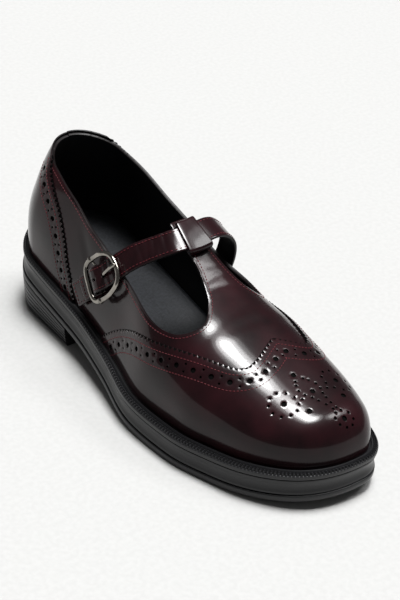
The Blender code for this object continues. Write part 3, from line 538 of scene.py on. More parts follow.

# %% [markdown]
# ## Dressing the last
#
# A flat panel becomes a shoe part in three moves: its points go to their places on the last, the meeting
# points at the back seam and the toe are merged, and the sheet is lifted along its own normals by what
# lies below it. A Solidify modifier then gives the hide its thickness and a Bevel softens its cut edge.
#
# Creases could come from noise, but worn leather folds at known places: across the vamp where the toes
# bend, across the T-bar, and beside the buckle. So each one is listed as a soft trough with a low ridge
# on each side, and the layers above and their stitches follow it.


# %% Creases listed one by one
CREASES = [
    # share, turn, half length, half width, depth, tilt in degrees from straight across
    (0.478, 0.02, 6.0, 1.0, 0.09, 5),
    (0.499, -0.04, 5.0, 0.9, 0.06, -9),
    (0.513, 0.05, 7.0, 1.2, 0.10, 12),
    (0.541, -0.03, 7.0, 1.1, 0.07, -5),
    (0.563, 0.03, 9.0, 1.6, 0.12, 8),
    (0.590, -0.04, 12.0, 1.9, 0.12, -7),
    (0.655, 0.10, 22.0, 3.2, 0.22, 9),
    (0.690, -0.06, 24.0, 3.4, 0.20, -6),
    (0.330, 0.62, 13.0, 3.0, 0.35, 62),
    (0.300, 0.74, 11.0, 2.6, 0.25, 48),
]


# %% Depth of the creases at a place
def crease_depth(sweep, turn):
    """Height change of the leather by its creases: a soft trough with a low ridge on each side."""
    share = share_at(sweep)
    total = np.zeros_like(share)
    for place, middle, reach, half, depth, tilt in CREASES:
        along, across = (share - place) * LENGTH / MM, (turn - middle) * FLAT[1]
        tip = math.radians(tilt)
        run = across * math.cos(tip) + along * math.sin(tip)
        off = along * math.cos(tip) - across * math.sin(tip)
        shape = (1.0 - 0.55 * (off / half) ** 2) * np.exp(-0.5 * (off / half) ** 2)
        total -= depth * MM * shape * np.exp(-0.5 * (run / reach) ** 4)
    return total


# %% Laying a panel on the last
def dress(loops, lift, spacing=PANEL_SPACING):
    """Sheet of leather on the last, lifted off it."""
    flat, triangles = cut_flat([loop * FLAT for loop in loops], spacing)
    sweep, turn = flat[:, 0] / FLAT[0], flat[:, 1] / FLAT[1]
    bm = bmesh_from(last_point(sweep, turn), triangles)
    layer = bm.verts.layers.float.new("rise")
    for vert, height in zip(bm.verts, lift + crease_depth(sweep, turn)):
        vert[layer] = height
    drop_loose(bm)
    bmesh.ops.remove_doubles(bm, verts=bm.verts, dist=0.02 * MM)
    bmesh.ops.dissolve_degenerate(bm, edges=bm.edges, dist=0.01 * MM)
    turn_out(bm, (0, 0, 1))
    normals = [vert.normal.copy() for vert in bm.verts]
    for vert, normal in zip(bm.verts, normals):
        vert.co += normal * vert[layer]
    return bm


# %% Walls and soft edges
def soften(piece, round_edge):
    """Rounds the sharp edges of a piece, as a live modifier."""
    bevel = piece.modifiers.new("soft_edge", "BEVEL")
    bevel.width = round_edge
    bevel.segments = 2
    bevel.limit_method = "ANGLE"
    bevel.angle_limit = math.radians(50)


def give_wall(piece, wall, round_edge, outward=True):
    """Thickness and a softened cut edge; the second look is its inner face and the third its edge."""
    solidify = piece.modifiers.new("wall", "SOLIDIFY")
    solidify.thickness = wall
    solidify.offset = 1.0 if outward else -1.0
    solidify.use_quality_normals = True
    solidify.material_offset = 1
    solidify.material_offset_rim = 2
    soften(piece, round_edge)


HIDE = [OXBLOOD, LINING, CUT_EDGE]


# %% [markdown]
# ## The upper
#
# The vamp, the quarters and the T-bar are one wall here, with a back seam. Its opening has no simple
# formula: it is where the topline meets the two sides of the T-bar. A depth is worked out at every
# point, positive inside the opening, and the line where it is zero is traced cell by cell.

# %% Topline and T-bar
TBAR = 13 * MM
OPENING_ROUND = 3.5 * MM
TOP_PLACES = [0.00, 0.06, 0.12, 0.22, 0.30, 0.38, 0.47, 0.57, 0.61, 0.64, 0.66, 0.72]
outer_top = soft_curve(TOP_PLACES, [0.985, 1.0, 0.985, 0.91, 0.775, 0.705, 0.69, 0.68, 0.69, 0.74, 0.83, 1.2],
                       0.006)
inner_top = soft_curve(TOP_PLACES, [0.985, 1.01, 0.99, 0.93, 0.83, 0.77, 0.74, 0.72, 0.73, 0.77, 0.85, 1.2],
                       0.006)
bar_half = soft_curve([0.44, 0.50, 0.54, 0.57, 0.60, 0.62, 0.64, 0.70],
                      [0.50, 0.49, 0.57, 0.72, 0.95, 1.25, 1.60, 2.80], 0.006)
BAR_END = (0.44 - 0.5) * LENGTH


# %% How deep a place lies in the opening
def opening_depth(sweep, turn):
    """Positive inside the foot opening."""
    point = last_point(sweep, turn)
    share = np.clip(point[..., 1] / LENGTH + 0.5, 0.0, 1.0)
    at = sweep_at(share)
    inner, outer = sole_edge(-1, at, 0.0, 1.0), sole_edge(1, at, 0.0, 1.0)
    across = point[..., 0] - (inner + (outer - inner) * ridge_share(share)[..., None])[..., 0]
    top = np.where(across > 0, outer_top(share), inner_top(share)) * COLLAR
    above = point[..., 2] - welt_top(point[..., 1]) - FIT - top
    beside = np.maximum(np.abs(across) - bar_half(share) * TBAR, BAR_END - point[..., 1])
    both = (above * beside - OPENING_ROUND ** 2) / np.maximum(above + beside + OPENING_ROUND, 1e-6)
    return np.where((above <= 0.0) | (beside <= 0.0), np.minimum(above, beside) - OPENING_ROUND, both)


# %% Tracing the opening
def trace(depth, rows=560, columns=420):
    """Longest line where a depth over sweep and turn is zero, cell by cell."""
    sweeps, turns = np.linspace(0.0, 1.0, rows), np.linspace(-1.0, 1.0, columns)
    values = depth(sweeps[:, None], turns[None, :])
    ways = {}

    def crossing(a, b):
        """Place between two neighbouring corners where the depth is zero."""
        share = values[a] / (values[a] - values[b])
        return (sweeps[a[0]] + share * (sweeps[b[0]] - sweeps[a[0]]),
                turns[a[1]] + share * (turns[b[1]] - turns[a[1]]))

    inside = values > 0.0
    mixed = inside[:-1, :-1].astype(int) + inside[1:, :-1] + inside[:-1, 1:] + inside[1:, 1:]
    for i, j in zip(*np.nonzero((mixed > 0) & (mixed < 4))):
        corners = [(i, j), (i + 1, j), (i + 1, j + 1), (i, j + 1)]
        cut = [(corners[k], corners[(k + 1) % 4]) for k in range(4)
               if inside[corners[k]] != inside[corners[(k + 1) % 4]]]
        keys = [tuple(sorted(pair)) for pair in cut]
        for here, there in zip(keys[0::2], keys[1::2]):
            ways.setdefault(here, []).append(there)
            ways.setdefault(there, []).append(here)
    ends = [key for key, nexts in ways.items() if len(nexts) == 1]
    best, seen = [], set()
    for start in ends + list(ways):
        if start in seen:
            continue
        chain, here = [], start
        while here is not None:
            seen.add(here)
            chain.append(here)
            here = next((key for key in ways[here] if key not in seen), None)
        best = max(best, chain, key=len)
    return np.array([crossing(*key) for key in best])


# %% The topline
topline = trace(opening_depth)
if topline[0, 1] < 0:
    topline = topline[::-1]
topline[0, 0] = topline[-1, 0] = 0.0
middle_turn = (topline[0, 1] - topline[-1, 1]) / 2
topline[0, 1], topline[-1, 1] = middle_turn, -middle_turn
topline = even_walk(topline, 1.0 * MM)
print("topline:", len(topline), "mm long")


# %% Vamp, quarters and T-bar
def straight(first, last, count):
    """Points between two places, without the last."""
    return np.array(first) + np.linspace(0, 1, count, endpoint=False)[:, None] * (np.array(last) - first)


UPPER_WALL, OVERLAY = 1.8 * MM, 1.0 * MM
back_seam = straight((0.0, -middle_turn), (0.0, -1.0), 40)[1:]
inner_foot = straight((0.0, -1.0), (1.0, -1.0), 280)
toe_seam = straight((1.0, -1.0), (1.0, 1.0), 120)
outer_foot = straight((1.0, 1.0), (0.0, 1.0), 280)
seam_again = straight((0.0, 1.0), (0.0, middle_turn), 40)
upper_loop = np.vstack((topline, back_seam, inner_foot, toe_seam, outer_foot, seam_again))
upper = mesh_piece("vamp_and_quarters", dress([upper_loop], 0.0), HIDE, "upper_leather", "upper")
give_wall(upper, UPPER_WALL, 0.35 * MM, outward=False)

# %% [markdown]
# ## The wing cap and its brogueing
#
# The wing cap is a second skin over the toe. Its edge is pinked, cut with a zigzag knife, and beside it
# run a seam, a row of punched holes with small pairs between them, and a second seam. The toe carries a
# medallion, the old ornament of punched rings. All rows are the one edge line, moved sideways.

# %% Rows beside the wing's edge
wing_place = soft_curve([0.00, 0.10, 0.20, 0.30, 0.38, 0.47, 0.58, 0.70, 0.82, 1.00],
                        [0.745, 0.758, 0.770, 0.776, 0.762, 0.695, 0.610, 0.530, 0.470, 0.400], 0.012)
PINK_PITCH, PINK_DEPTH = 3.0 * MM, 1.9 * MM
LARGE_HOLE, SMALL_HOLE = 1.5 * MM, 0.66 * MM
LARGE_PITCH = 10.4 * MM


def punched_row(line, distance, spread):
    """Large holes along a moved line, with a pair of small ones between each two."""
    places = even_walk(move_line(line, distance), LARGE_PITCH / 2)
    large = [circle_on_last(*place, LARGE_HOLE, 14) for place in places[1:-1:2]]
    pairs = []
    left = sideways(places)
    for k in range(2, len(places) - 1, 2):
        for way in (-1, 1):
            spot = step_on_last(places[k, 0], places[k, 1], left[k] * spread * way)
            pairs.append(circle_on_last(*spot, SMALL_HOLE, 9))
    return large + pairs


wing_turns = np.linspace(1.0, -1.0, 700)
wing_line = even_walk(np.stack((sweep_at(wing_place(np.abs(wing_turns))), wing_turns), axis=1), 0.5 * MM)
wing_holes = punched_row(wing_line, -6.6 * MM, 2.1 * MM)
print("holes beside the wing's edge:", len(wing_holes))

# %% [markdown]
# The medallion is drawn flat, in millimetres, as one half and its mirror image: across from its axis,
# and along the toe from mid length. It is pricked onto the last with a tape measure: first along the
# ridge, then across from it, so that its rings stay round on the curved toe.

# %% Medallion
medallion_large = [(0.0, 92.5), (0.0, 105.5), (0.0, 127.0), (18.0, 104.0), (11.8, 114.8)]
medallion_small = [(2.6, 96.4), (4.3, 98.6), (5.9, 102.0), (8.6, 107.0), (5.4, 105.6), (3.6, 108.8),
                   (2.6, 112.0), (1.6, 116.0), (1.1, 120.0)]
medallion_small += [(18.3 + 7.4 * math.cos(math.radians(a)), 104.0 + 7.4 * math.sin(math.radians(a)))
                    for a in range(0, 360, 36)]
medallion_small += [(5.0 * math.sin(math.radians(a)), 127.0 - 5.0 * math.cos(math.radians(a)))
                    for a in (22, 67, 112, 157)]


# %% Pricking the medallion onto the toe
AXIS_SHIFT, AXIS_PLACE, AXIS_LEAN = 5.3, 104.0, 0.16


def toe_place(across, along):
    """Sweep and turn of a medallion place; its axis leans a little towards the inner side."""
    sweeps = np.linspace(0.5, 0.999, 200)
    sweep = float(np.interp(along * MM, walked(last_point(sweeps, 0.0)), sweeps))
    across += AXIS_SHIFT - (along - AXIS_PLACE) * AXIS_LEAN
    turns = np.linspace(0.0, math.copysign(0.99, across), 100)
    return sweep, float(np.interp(abs(across) * MM, walked(last_point(sweep, turns)), turns))


def medallion_holes(spots, radius, sides):
    """Holes at the medallion's spots and at their mirror images."""
    return [circle_on_last(*toe_place(across * way, along), radius, sides)
            for across, along in spots for way in ((1, -1) if across > 0.0 else (1,))]


wing_holes += medallion_holes(medallion_large, LARGE_HOLE, 14)
wing_holes += medallion_holes(medallion_small, SMALL_HOLE * 1.25, 9)


# %% Wing cap
PANEL_LIFT = 0.1 * MM


def wing_outline(edge):
    """Closed outline of a wing piece from its back edge round the sole's toe."""
    inner = straight((wing_line[-1, 0], -1.0), (1.0, -1.0), 180)
    outer = straight((1.0, 1.0), (wing_line[0, 0], 1.0), 180)
    return np.vstack((edge, inner, toe_seam, outer))


wing_loop = wing_outline(teeth(wing_line, PINK_PITCH, PINK_DEPTH))
wing_sheet = dress([wing_loop] + wing_holes, PANEL_LIFT)
give_wall(mesh_piece("wing_cap_panel", wing_sheet, HIDE, "upper_leather", "wing_cap"), OVERLAY, 0.28 * MM)
print("holes in the wing cap:", len(wing_holes))

# %% [markdown]
# The punched holes show black because a thin near-black sheet of painted shade lies under them. The same
# sheet peeps out between the teeth of the pinked edge as painted shade in their valleys, so it is cut a
# little past their valleys.

# %% Black sheet of painted shade under the wing cap
SHADE_SHEET_WALL, SHADE_SHEET_PEEP = 0.25 * MM, 0.95 * PINK_DEPTH


def lay_shade_sheet(name, loop):
    """Thin black sheet of painted shade under a punched panel; it has no holes, so its points lie wider
    apart.
    """
    piece = mesh_piece(name, dress([loop], PANEL_LIFT / 2, 2.4), [PAINTED_SHADE_SHEET, PAINTED_SHADE_SHEET, PAINTED_SHADE_SHEET], "upper_leather")
    give_wall(piece, SHADE_SHEET_WALL, 0.05 * MM)


# Painted shade under the wing cap's holes and between its teeth.
lay_shade_sheet("wing_shade_sheet", wing_outline(even_walk(move_line(wing_line, SHADE_SHEET_PEEP), 1.2 * MM)))

# %% [markdown]
# ## The heel counter
#
# The counter wraps the heel and has the same pinked edge and rows as the wing. Its front edge is given
# by height, so its turn is found by stepping down the last until the height fits.

# %% Counter panel
counter_place = soft_curve([0.00, 0.15, 0.30, 0.50, 0.70, 0.85, 1.00, 1.10],
                           [0.275, 0.258, 0.238, 0.218, 0.188, 0.140, 0.075, 0.045])


FIRST_PLACE, FIT_ROUNDS = 0.2, 30


def counter_line(side):
    """Front edge of the counter on one side, from the sole up to the topline."""
    turns = side * np.linspace(1.0, middle_turn * 0.8, 500)
    sweep = np.full(len(turns), float(sweep_at(FIRST_PLACE)))
    for _ in range(FIT_ROUNDS):
        point = last_point(sweep, turns)
        height = point[:, 2] - welt_top(point[:, 1]) - FIT
        sweep = 0.5 * sweep + 0.5 * sweep_at(counter_place(height / COLLAR))
    line = np.stack((sweep, turns), axis=1)
    return even_walk(line[opening_depth(sweep, turns) < -OVERLAY * 1.2], 0.5 * MM)


# %% Outline and holes of a counter
# The counter follows the topline for less than this number of its points, which lie 1 mm apart.
RIM_POINTS = 200


def counter_panel(side):
    """One side of the counter: its outline, its holes, its edge line and the outline of its sheet of painted
    shade.
    """
    line = counter_line(side)
    walk = line if side < 0 else line[::-1]
    edge = teeth(walk, PINK_PITCH, PINK_DEPTH)
    edge = edge if side < 0 else edge[::-1]
    holes = punched_row(walk, -5.4 * MM, 1.7 * MM)
    rim = topline[:RIM_POINTS] if side > 0 else topline[:-RIM_POINTS:-1]
    rim = move_line(rim, OVERLAY * (1.2 if side > 0 else -1.2), tidy=False)
    peep = even_walk(move_line(walk, SHADE_SHEET_PEEP), 1.2 * MM)
    outlines = []
    for front in (edge, peep if side < 0 else peep[::-1]):
        top_rim = rim[rim[:, 0] < front[-1, 0] - 0.004][::-1]
        top_rim[-1, 0] = 0.0
        back = straight((0.0, top_rim[-1, 1]), (0.0, side * 1.0), 50)[1:]
        foot = straight((0.0, side * 1.0), (front[0, 0], side * 1.0), 90)
        outlines.append(np.vstack((front, top_rim, back, foot)))
    return outlines[0], holes, walk, outlines[1]


# %% Both counters and their sheets of painted shade
counters = {side: counter_panel(side) for side in (1, -1)}
for side, word in ((1, "outer"), (-1, "inner")):
    loop, holes, _, shade_sheet_loop = counters[side]
    nodes = ["heel_counter"] if side > 0 else []
    sheet = dress([loop] + holes, PANEL_LIFT)
    panel = mesh_piece(word + "_counter_panel", sheet, HIDE, "upper_leather", *nodes)
    give_wall(panel, OVERLAY, 0.28 * MM)
    # Painted shade under the counter's holes and between its teeth.
    lay_shade_sheet(word + "_counter_shade_sheet", shade_sheet_loop)
    print("holes in the", word, "counter:", len(holes))


# %% [markdown]
# ## Red thread
#
# Each seam is a row of separate stitches 2 mm apart, laid half into the leather. A stitch is a small
# stretched ball with few faces, because there are about eight hundred of them. Blender's operator would
# be slow for so many, so it makes one ball, and that one is copied to every place.


# %% Sewing
STITCH_PITCH, STITCH_LENGTH, STITCH_HALF = 2.0 * MM, 1.55 * MM, 0.26 * MM


def sew(name, seams):
    """One piece with a stitch at each point of the seams, given as points and outward directions."""
    ball = bmesh.new()
    bmesh.ops.create_uvsphere(ball, u_segments=7, v_segments=5, radius=1.0)
    shape = np.array([tuple(vert.co) for vert in ball.verts])
    shape_faces = [[vert.index for vert in face.verts] for face in ball.faces]
    ball.free()
    points = np.vstack([line for line, _ in seams])
    forward = unit(np.vstack([np.gradient(line, axis=0) for line, _ in seams]))
    outward = np.vstack([outwards for _, outwards in seams])
    side = unit(np.cross(outward, forward))
    up = np.cross(forward, side)
    axes = np.stack((side * STITCH_HALF, up * STITCH_HALF, forward * STITCH_LENGTH / 2), axis=1)
    placed = points[:, None, :] + np.einsum("vk,nkc->nvc", shape, axes)
    faces = [[k * len(shape) + i for i in face] for k in range(len(points)) for face in shape_faces]
    mesh_piece(name, bmesh_from(placed.reshape(-1, 3), faces), [THREAD], "upper_leather")
    print("stitches:", len(points))


# %% Seams of the upper
def seam_on_last(line, lift):
    """Stitch places along a line on the last."""
    even = even_walk(line, STITCH_PITCH)
    points, _, _, outward = last_frame(even[:, 0], even[:, 1])
    return points + outward * (lift + crease_depth(even[:, 0], even[:, 1]))[:, None], outward


over = OVERLAY + 0.12 * MM
sewn_lines = [(topline, 2.2, 0.02 * MM), (wing_line, 2.4, over), (wing_line, 11.2, over)]
for side in (1, -1):
    walk = counters[side][2]
    sewn_lines += [(walk, 2.2, over), (walk, 9.4, over)]
sew("upper_stitching", [seam_on_last(move_line(line, -from_edge * MM), lift)
                        for line, from_edge, lift in sewn_lines])

# %% [markdown]
# ## The rubber sole
#
# The sole unit is moulded black rubber. It is lofted from rings round the outline: a grid is bent round
# into a tube, because that keeps its rows in order at any number of points, and spin could only make a
# round one.


# %% Grids bent into rings
def shaped_grid(points, closed=False, look_at=None):
    """Grid of faces through an array of rows of points, closed round each row if asked; look_at gives
    the material number for a row and a column."""
    if closed:
        points = np.concatenate((points, points[:, :1]), axis=1)
    rows, columns = points.shape[:2]
    bm = bmesh.new()
    bmesh.ops.create_grid(bm, x_segments=columns - 1, y_segments=rows - 1, size=1.0)
    for face in bm.faces if look_at else []:
        middle = face.calc_center_median()
        row = int((middle.y + 1) / 2 * (rows - 1))
        column = int((middle.x + 1) / 2 * (columns - 1))
        face.material_index = look_at(row, column)
    for vert in bm.verts:
        column = round((vert.co.x + 1) / 2 * (columns - 1))
        row = round((vert.co.y + 1) / 2 * (rows - 1))
        vert.co = points[row, column]
    return bm


# %% Joining parts
def weld(*parts):
    """One closed mesh from parts whose edges meet, with its faces pointing out."""
    whole = bmesh.new()
    for part in parts:
        mesh = bpy.data.meshes.new("part")
        part.to_mesh(mesh)
        part.free()
        whole.from_mesh(mesh)
        bpy.data.meshes.remove(mesh)
    bmesh.ops.remove_doubles(whole, verts=whole.verts, dist=0.01 * MM)
    bmesh.ops.dissolve_degenerate(whole, edges=whole.edges, dist=0.005 * MM)
    bmesh.ops.recalc_face_normals(whole, faces=whole.faces)
    return whole


# %% Levels and lofts of the sole
def sole_level(sweeps, inset, rise, scale_rise=False, breast=None):
    """Outer and inner points of one level; rise is a height, or a share of the underside's height."""
    sides = []
    for side in (1, -1):
        edge = sole_edge(side, sweeps, inset)
        if breast is not None:
            edge[-1, 1] = breast
        base = underside(edge[:, 1])
        height = (base - FIT) * rise if scale_rise else base + rise
        sides.append(np.concatenate((edge, height[:, None]), axis=1))
    return sides


CAP_SHARES = np.array([0.0, 0.05, 0.06, 0.3, 0.5, 0.7, 0.94, 0.95, 1.0])


def lofted_sole(sweeps, levels, closed_toe=True, tread=(), **how):
    """Solid from levels, each an inset and a rise, with strips across the top and the bottom; tread gives
    the depth of the cross grooves underneath at each sweep."""
    rings, caps = [], []
    for k, (inset, rise) in enumerate(levels):
        outer, inner = sole_level(sweeps, inset, rise, **how)
        back = inner[-2:0:-1] if closed_toe else inner[:0:-1]
        rings.append(np.vstack((outer, back)))
        if k in (0, len(levels) - 1):
            strips = outer[:, None, :] + (inner - outer)[:, None, :] * CAP_SHARES[None, :, None]
            if k == 0 and len(tread):
                strips[:, 2:7, 2] += np.array(tread)[:, None]
            caps.append(shaped_grid(strips))
    return weld(shaped_grid(np.array(rings), closed=True), *caps)


# %% [markdown]
# The outsole rounds under at its foot, and low grooves cross it under the ball of the foot, so that it
# grips. The midsole's wall is slightly hollow. The photo doesn't show the tread, so it is kept plain.

# %% Outsole
fine_sweeps = np.linspace(0.0, 1.0, 181)
TREAD_DEPTH = 0.9 * MM
sole_steps = np.arange(len(fine_sweeps))
under_ball = (share_at(fine_sweeps) > 0.42) & (share_at(fine_sweeps) < 0.97)
tread = TREAD_DEPTH * ((sole_steps % 3 == 0) & under_ball)
outsole_top = OUTSOLE - FIT
outsole_levels = [(1.6 * MM, 0.0), (0.5 * MM, 0.45 * MM), (0.05 * MM, 1.4 * MM), (0.0, 2.2 * MM),
                  (0.0, outsole_top - 0.7 * MM), (0.25 * MM, outsole_top - 0.2 * MM),
                  (0.8 * MM, outsole_top)]
outsole = lofted_sole(fine_sweeps, outsole_levels, tread=tread)
mesh_piece("rubber_outsole", outsole, [RUBBER], "sole_rubber", "outsole", crisp=50)

# %% Midsole
HOLLOW, HOLLOW_STEPS = 1.0 * MM, 8
foot, head = OUTSOLE, OUTSOLE + MIDSOLE - FIT
wall_levels = [(1.2 * MM, foot), (0.6 * MM, foot + 0.4 * MM), (0.5 * MM, foot + 0.9 * MM)]
for k in range(1, HOLLOW_STEPS):
    inset = 0.5 * MM + HOLLOW * math.sin(math.pi * k / HOLLOW_STEPS)
    wall_levels.append((inset, foot + 0.9 * MM + k / HOLLOW_STEPS * (head - foot - 1.8 * MM)))
wall_levels += [(0.5 * MM, head - 0.9 * MM), (0.6 * MM, head - 0.3 * MM), (1.2 * MM, head)]
midsole = lofted_sole(fine_sweeps, wall_levels)
mesh_piece("rubber_midsole", midsole, [RUBBER], "sole_rubber", "midsole", crisp=50)

# %% [markdown]
# The heel block has five grooves round it, rounded at their bottoms. Its levels are shares of the height
# under the sole, so each groove runs level with the others and follows the sole's rise.

# %% Heel
HEEL_LENGTH, HEEL_TAPER, HEEL_GROOVES, GROOVE_DEPTH = 73 * MM, 2.6 * MM, 5, 0.9 * MM
GROOVE_SHAPE = [(-0.022, 0.0), (-0.014, 0.35), (-0.008, 0.9), (0.0, 1.0), (0.008, 0.9), (0.014, 0.35),
                (0.022, 0.0)]
heel_sweeps = np.linspace(0.0, float(sweep_at(HEEL_LENGTH / LENGTH)), 61)
heel_levels = [(HEEL_TAPER + 1.0 * MM, 0.0), (HEEL_TAPER + 0.2 * MM, 0.03), (HEEL_TAPER, 0.07)]
for groove in range(1, HEEL_GROOVES + 1):
    for offset, depth in GROOVE_SHAPE:
        share = groove / (HEEL_GROOVES + 1) + offset
        heel_levels.append((HEEL_TAPER * (1 - share) + depth * GROOVE_DEPTH, share))
heel_levels += [(0.3 * MM, 0.97), (0.6 * MM, 1.0)]
heel_steps = np.arange(len(heel_sweeps))
heel_tread = TREAD_DEPTH * ((heel_steps % 4 == 0) & (heel_steps > 8) & (heel_steps < 57))
heel = lofted_sole(heel_sweeps, heel_levels, closed_toe=False, tread=heel_tread, scale_rise=True,
                   breast=HEEL_LENGTH - LENGTH / 2)
mesh_piece("rubber_heel", heel, [RUBBER], "sole_rubber", "heel", crisp=50)

# %% [markdown]
# The welt is the ledge round the upper. A wheel presses ribs into it, and a bead closes it against the
# leather. The ribs are real relief, and the gaps between them are rougher and painted near black as
# shade, so that the ribs stand out.

# %% Welt with its wheeled ribs
def walk_round(count):
    """Sides and sweeps of evenly spaced places round the whole outline."""
    half = 4000
    fine = np.linspace(0.0, 1.0, half + 1)
    sides = np.concatenate((np.ones(half + 1), -np.ones(half)))
    sweeps = np.concatenate((fine, fine[-2::-1]))
    run = walked(sole_edge(sides, sweeps))
    targets = np.linspace(0.0, run[-1], count, endpoint=False)
    return np.where(targets < run[half], 1.0, -1.0), np.interp(targets, run, sweeps), run[-1]


RIB_PITCH, RIB_HEIGHT, RIB_CUTS = 2.0 * MM, 1.0 * MM, 6
BEAD_IN = -(OVERLAY + 0.9 * MM)
BEAD_OUT = BEAD_IN - 1.5 * MM
BEAD_HIGH = 1.4 * MM
UNDER_UPPER = 8.0 * MM
rib_count = int(walk_round(10)[2] / RIB_PITCH)
rib_sides, rib_sweeps, _ = walk_round(rib_count * RIB_CUTS)
# The wave is cut off at both ends, so each rib has a flat top and each gap a flat floor.
rib_wave = np.clip(0.62 + 0.9 * np.cos(2 * np.pi * np.arange(rib_count * RIB_CUTS) / RIB_CUTS), 0.0, 1.0)
low, high = OUTSOLE + MIDSOLE, OUTSOLE + MIDSOLE + WELT


def welt_ring(share, rise, ribs=0.0, inset=None):
    """Ring of the welt at a share of the way from its outer edge to the upper's foot."""
    inset = 0.5 * MM * (1 - share) + BEAD_OUT * share if inset is None else inset
    edge = sole_edge(rib_sides, rib_sweeps, inset, share)
    height = underside(edge[:, 1]) + rise + ribs * RIB_HEIGHT * rib_wave
    return np.concatenate((edge, height[:, None]), axis=1)


# %% Rings of the welt, from its outer wall over two rows of ribs to the bead and back below
RIBS_ACROSS = [(0.01, 0.35), (0.05, 0.85), (0.10, 1.0), (0.36, 1.0), (0.42, 0.7), (0.46, 0.1), (0.52, 0.0),
               (0.56, 0.4), (0.61, 0.8), (0.70, 0.85), (0.80, 0.7), (0.86, 0.2), (0.97, 0.0)]
BEAD_ACROSS = [(BEAD_OUT, 0.15), (BEAD_OUT + 0.35 * MM, 0.75), (BEAD_OUT + 0.75 * MM, 1.0),
               (BEAD_IN - 0.35 * MM, 0.85), (BEAD_IN, 0.3), (BEAD_IN + 0.1 * MM, 0.0)]
welt_rings = [welt_ring(0.0, low, inset=0.5 * MM), welt_ring(0.0, low + 0.5 * MM, inset=0.1 * MM),
              welt_ring(0.0, low + 1.0 * MM, inset=0.0), welt_ring(0.0, high - 0.9 * MM, inset=0.0)]
rib_foot = high - 0.5 * MM
for share, ribs in RIBS_ACROSS:
    welt_rings.append(welt_ring(share, rib_foot, ribs))
for inset, rise in BEAD_ACROSS:
    welt_rings.append(welt_ring(1.0, rib_foot + rise * BEAD_HIGH, inset=inset))
welt_rings += [welt_ring(1.0, height, inset=UNDER_UPPER) for height in (high, low)]
tube_rings = np.array(welt_rings + welt_rings[:1])
FIRST_RIB_ROW = 4
last_rib_row = FIRST_RIB_ROW + len(RIBS_ACROSS) - 1


def gap_shade_look(row, column):
    """Material number for the gaps between the ribs, which get the rubber with painted shade."""
    return int(FIRST_RIB_ROW <= row < last_rib_row and column % RIB_CUTS in (2, 3))


# The gaps between the ribs take the rubber with painted shade.
welt = weld(shaped_grid(tube_rings, closed=True, look_at=gap_shade_look))
mesh_piece("ribbed_welt", welt, [RUBBER, RUBBER_PAINTED_SHADE], "sole_rubber", "welt", crisp=32)
print("ribs round the welt:", rib_count)

# %% [markdown]
# ## The footbed
#
# The insole is thin leather over a soft filler, so it dips a little under the heel and curls up at its
# edges. It is one grid, laid across the sole in strips.

# %% Footbed
FOOTBED_HIGH = OUTSOLE + MIDSOLE + WELT + FIT + 3.5 * MM
bed_sweeps = np.linspace(0.0, 1.0, 121)
bed_outer, bed_inner = [sole_edge(side, bed_sweeps, UPPER_WALL + 0.5 * MM, 1.0) for side in (1, -1)]
bed_shares = np.linspace(0, 1, 33)
bed = bed_outer[:, None, :] + (bed_inner - bed_outer)[:, None, :] * bed_shares[None, :, None]
curl = (np.abs(2 * bed_shares - 1) ** 3 - 0.35)[None, :] * 1.6 * MM
bed_height = underside(bed[..., 1]) + FOOTBED_HIGH + curl
bed_top = shaped_grid(np.concatenate((bed, bed_height[..., None]), axis=2))
bmesh.ops.remove_doubles(bed_top, verts=bed_top.verts, dist=0.01 * MM)
bmesh.ops.dissolve_degenerate(bed_top, edges=bed_top.edges, dist=0.005 * MM)
turn_out(bed_top, (0, 0, 1))
footbed = mesh_piece("footbed", bed_top, [FOOTBED], "insole_leather", "insole")
bed_wall = footbed.modifiers.new("wall", "SOLIDIFY")
bed_wall.thickness = 3.0 * MM
bed_wall.offset = -1.0

# %% [markdown]
# ## Straps along one route
#
# The strap climbs from the inner quarter, runs over the instep through the loop of the T-bar, and comes
# down to the buckle. Its route is a line on the last. Each strap is made flat, in distance along the
# route, place across and lift off the last, and then bent to the route, as leather is.

# %% The route
# Each place has a share of the shoe's length, a turn, and a lift off the last in shares of the instep.
ROUTE_PLACES = [0.00, 0.06, 0.13, 0.20, 0.29, 0.38, 0.46, 0.53,
                0.59, 0.64, 0.69, 0.76, 0.82, 0.88, 0.94, 1.00]
route_share = soft_curve(ROUTE_PLACES, [0.294, 0.312, 0.333, 0.352, 0.383, 0.412, 0.442, 0.462,
                                        0.475, 0.478, 0.476, 0.472, 0.468, 0.463, 0.456, 0.446])
route_turn = soft_curve(ROUTE_PLACES, [0.925, 0.88, 0.82, 0.77, 0.68, 0.56, 0.40, 0.26,
                                       0.12, 0.00, -0.14, -0.32, -0.48, -0.59, -0.68, -0.77])
route_lift = soft_curve(ROUTE_PLACES, [0.02, 0.02, 0.01, 0.00, 0.00, -0.06, -0.11, -0.08,
                                       -0.01, 0.00, 0.01, 0.07, 0.11, 0.07, 0.01, 0.00])


def smooth_rows(rows, width):
    """Running mean of an array of points that keeps its ends."""
    longer = np.vstack((2 * rows[0] - rows[width:0:-1], rows, 2 * rows[-1] - rows[-2:-width - 2:-1]))
    weights = np.hanning(2 * width + 3)[1:-1]
    weights = weights / weights.sum()
    return np.stack([np.convolve(longer[:, i], weights, mode="valid") for i in range(3)], axis=1)


route_steps = np.linspace(0.0, 1.0, 321)
route_on, _, _, route_out = last_frame(sweep_at(route_share(route_steps)), route_turn(route_steps))
route_on = route_on + route_out * (route_lift(route_steps) * INSTEP)[:, None]
route_on, route_out = smooth_rows(route_on, 6), smooth_rows(route_out, 14)
route_run = walked(route_on)
route_forward = smooth_rows(np.gradient(route_on, axis=0), 6)
ROUTE_LENGTH = route_run[-1]
print("route of the strap:", round(ROUTE_LENGTH / MM, 1), "mm")


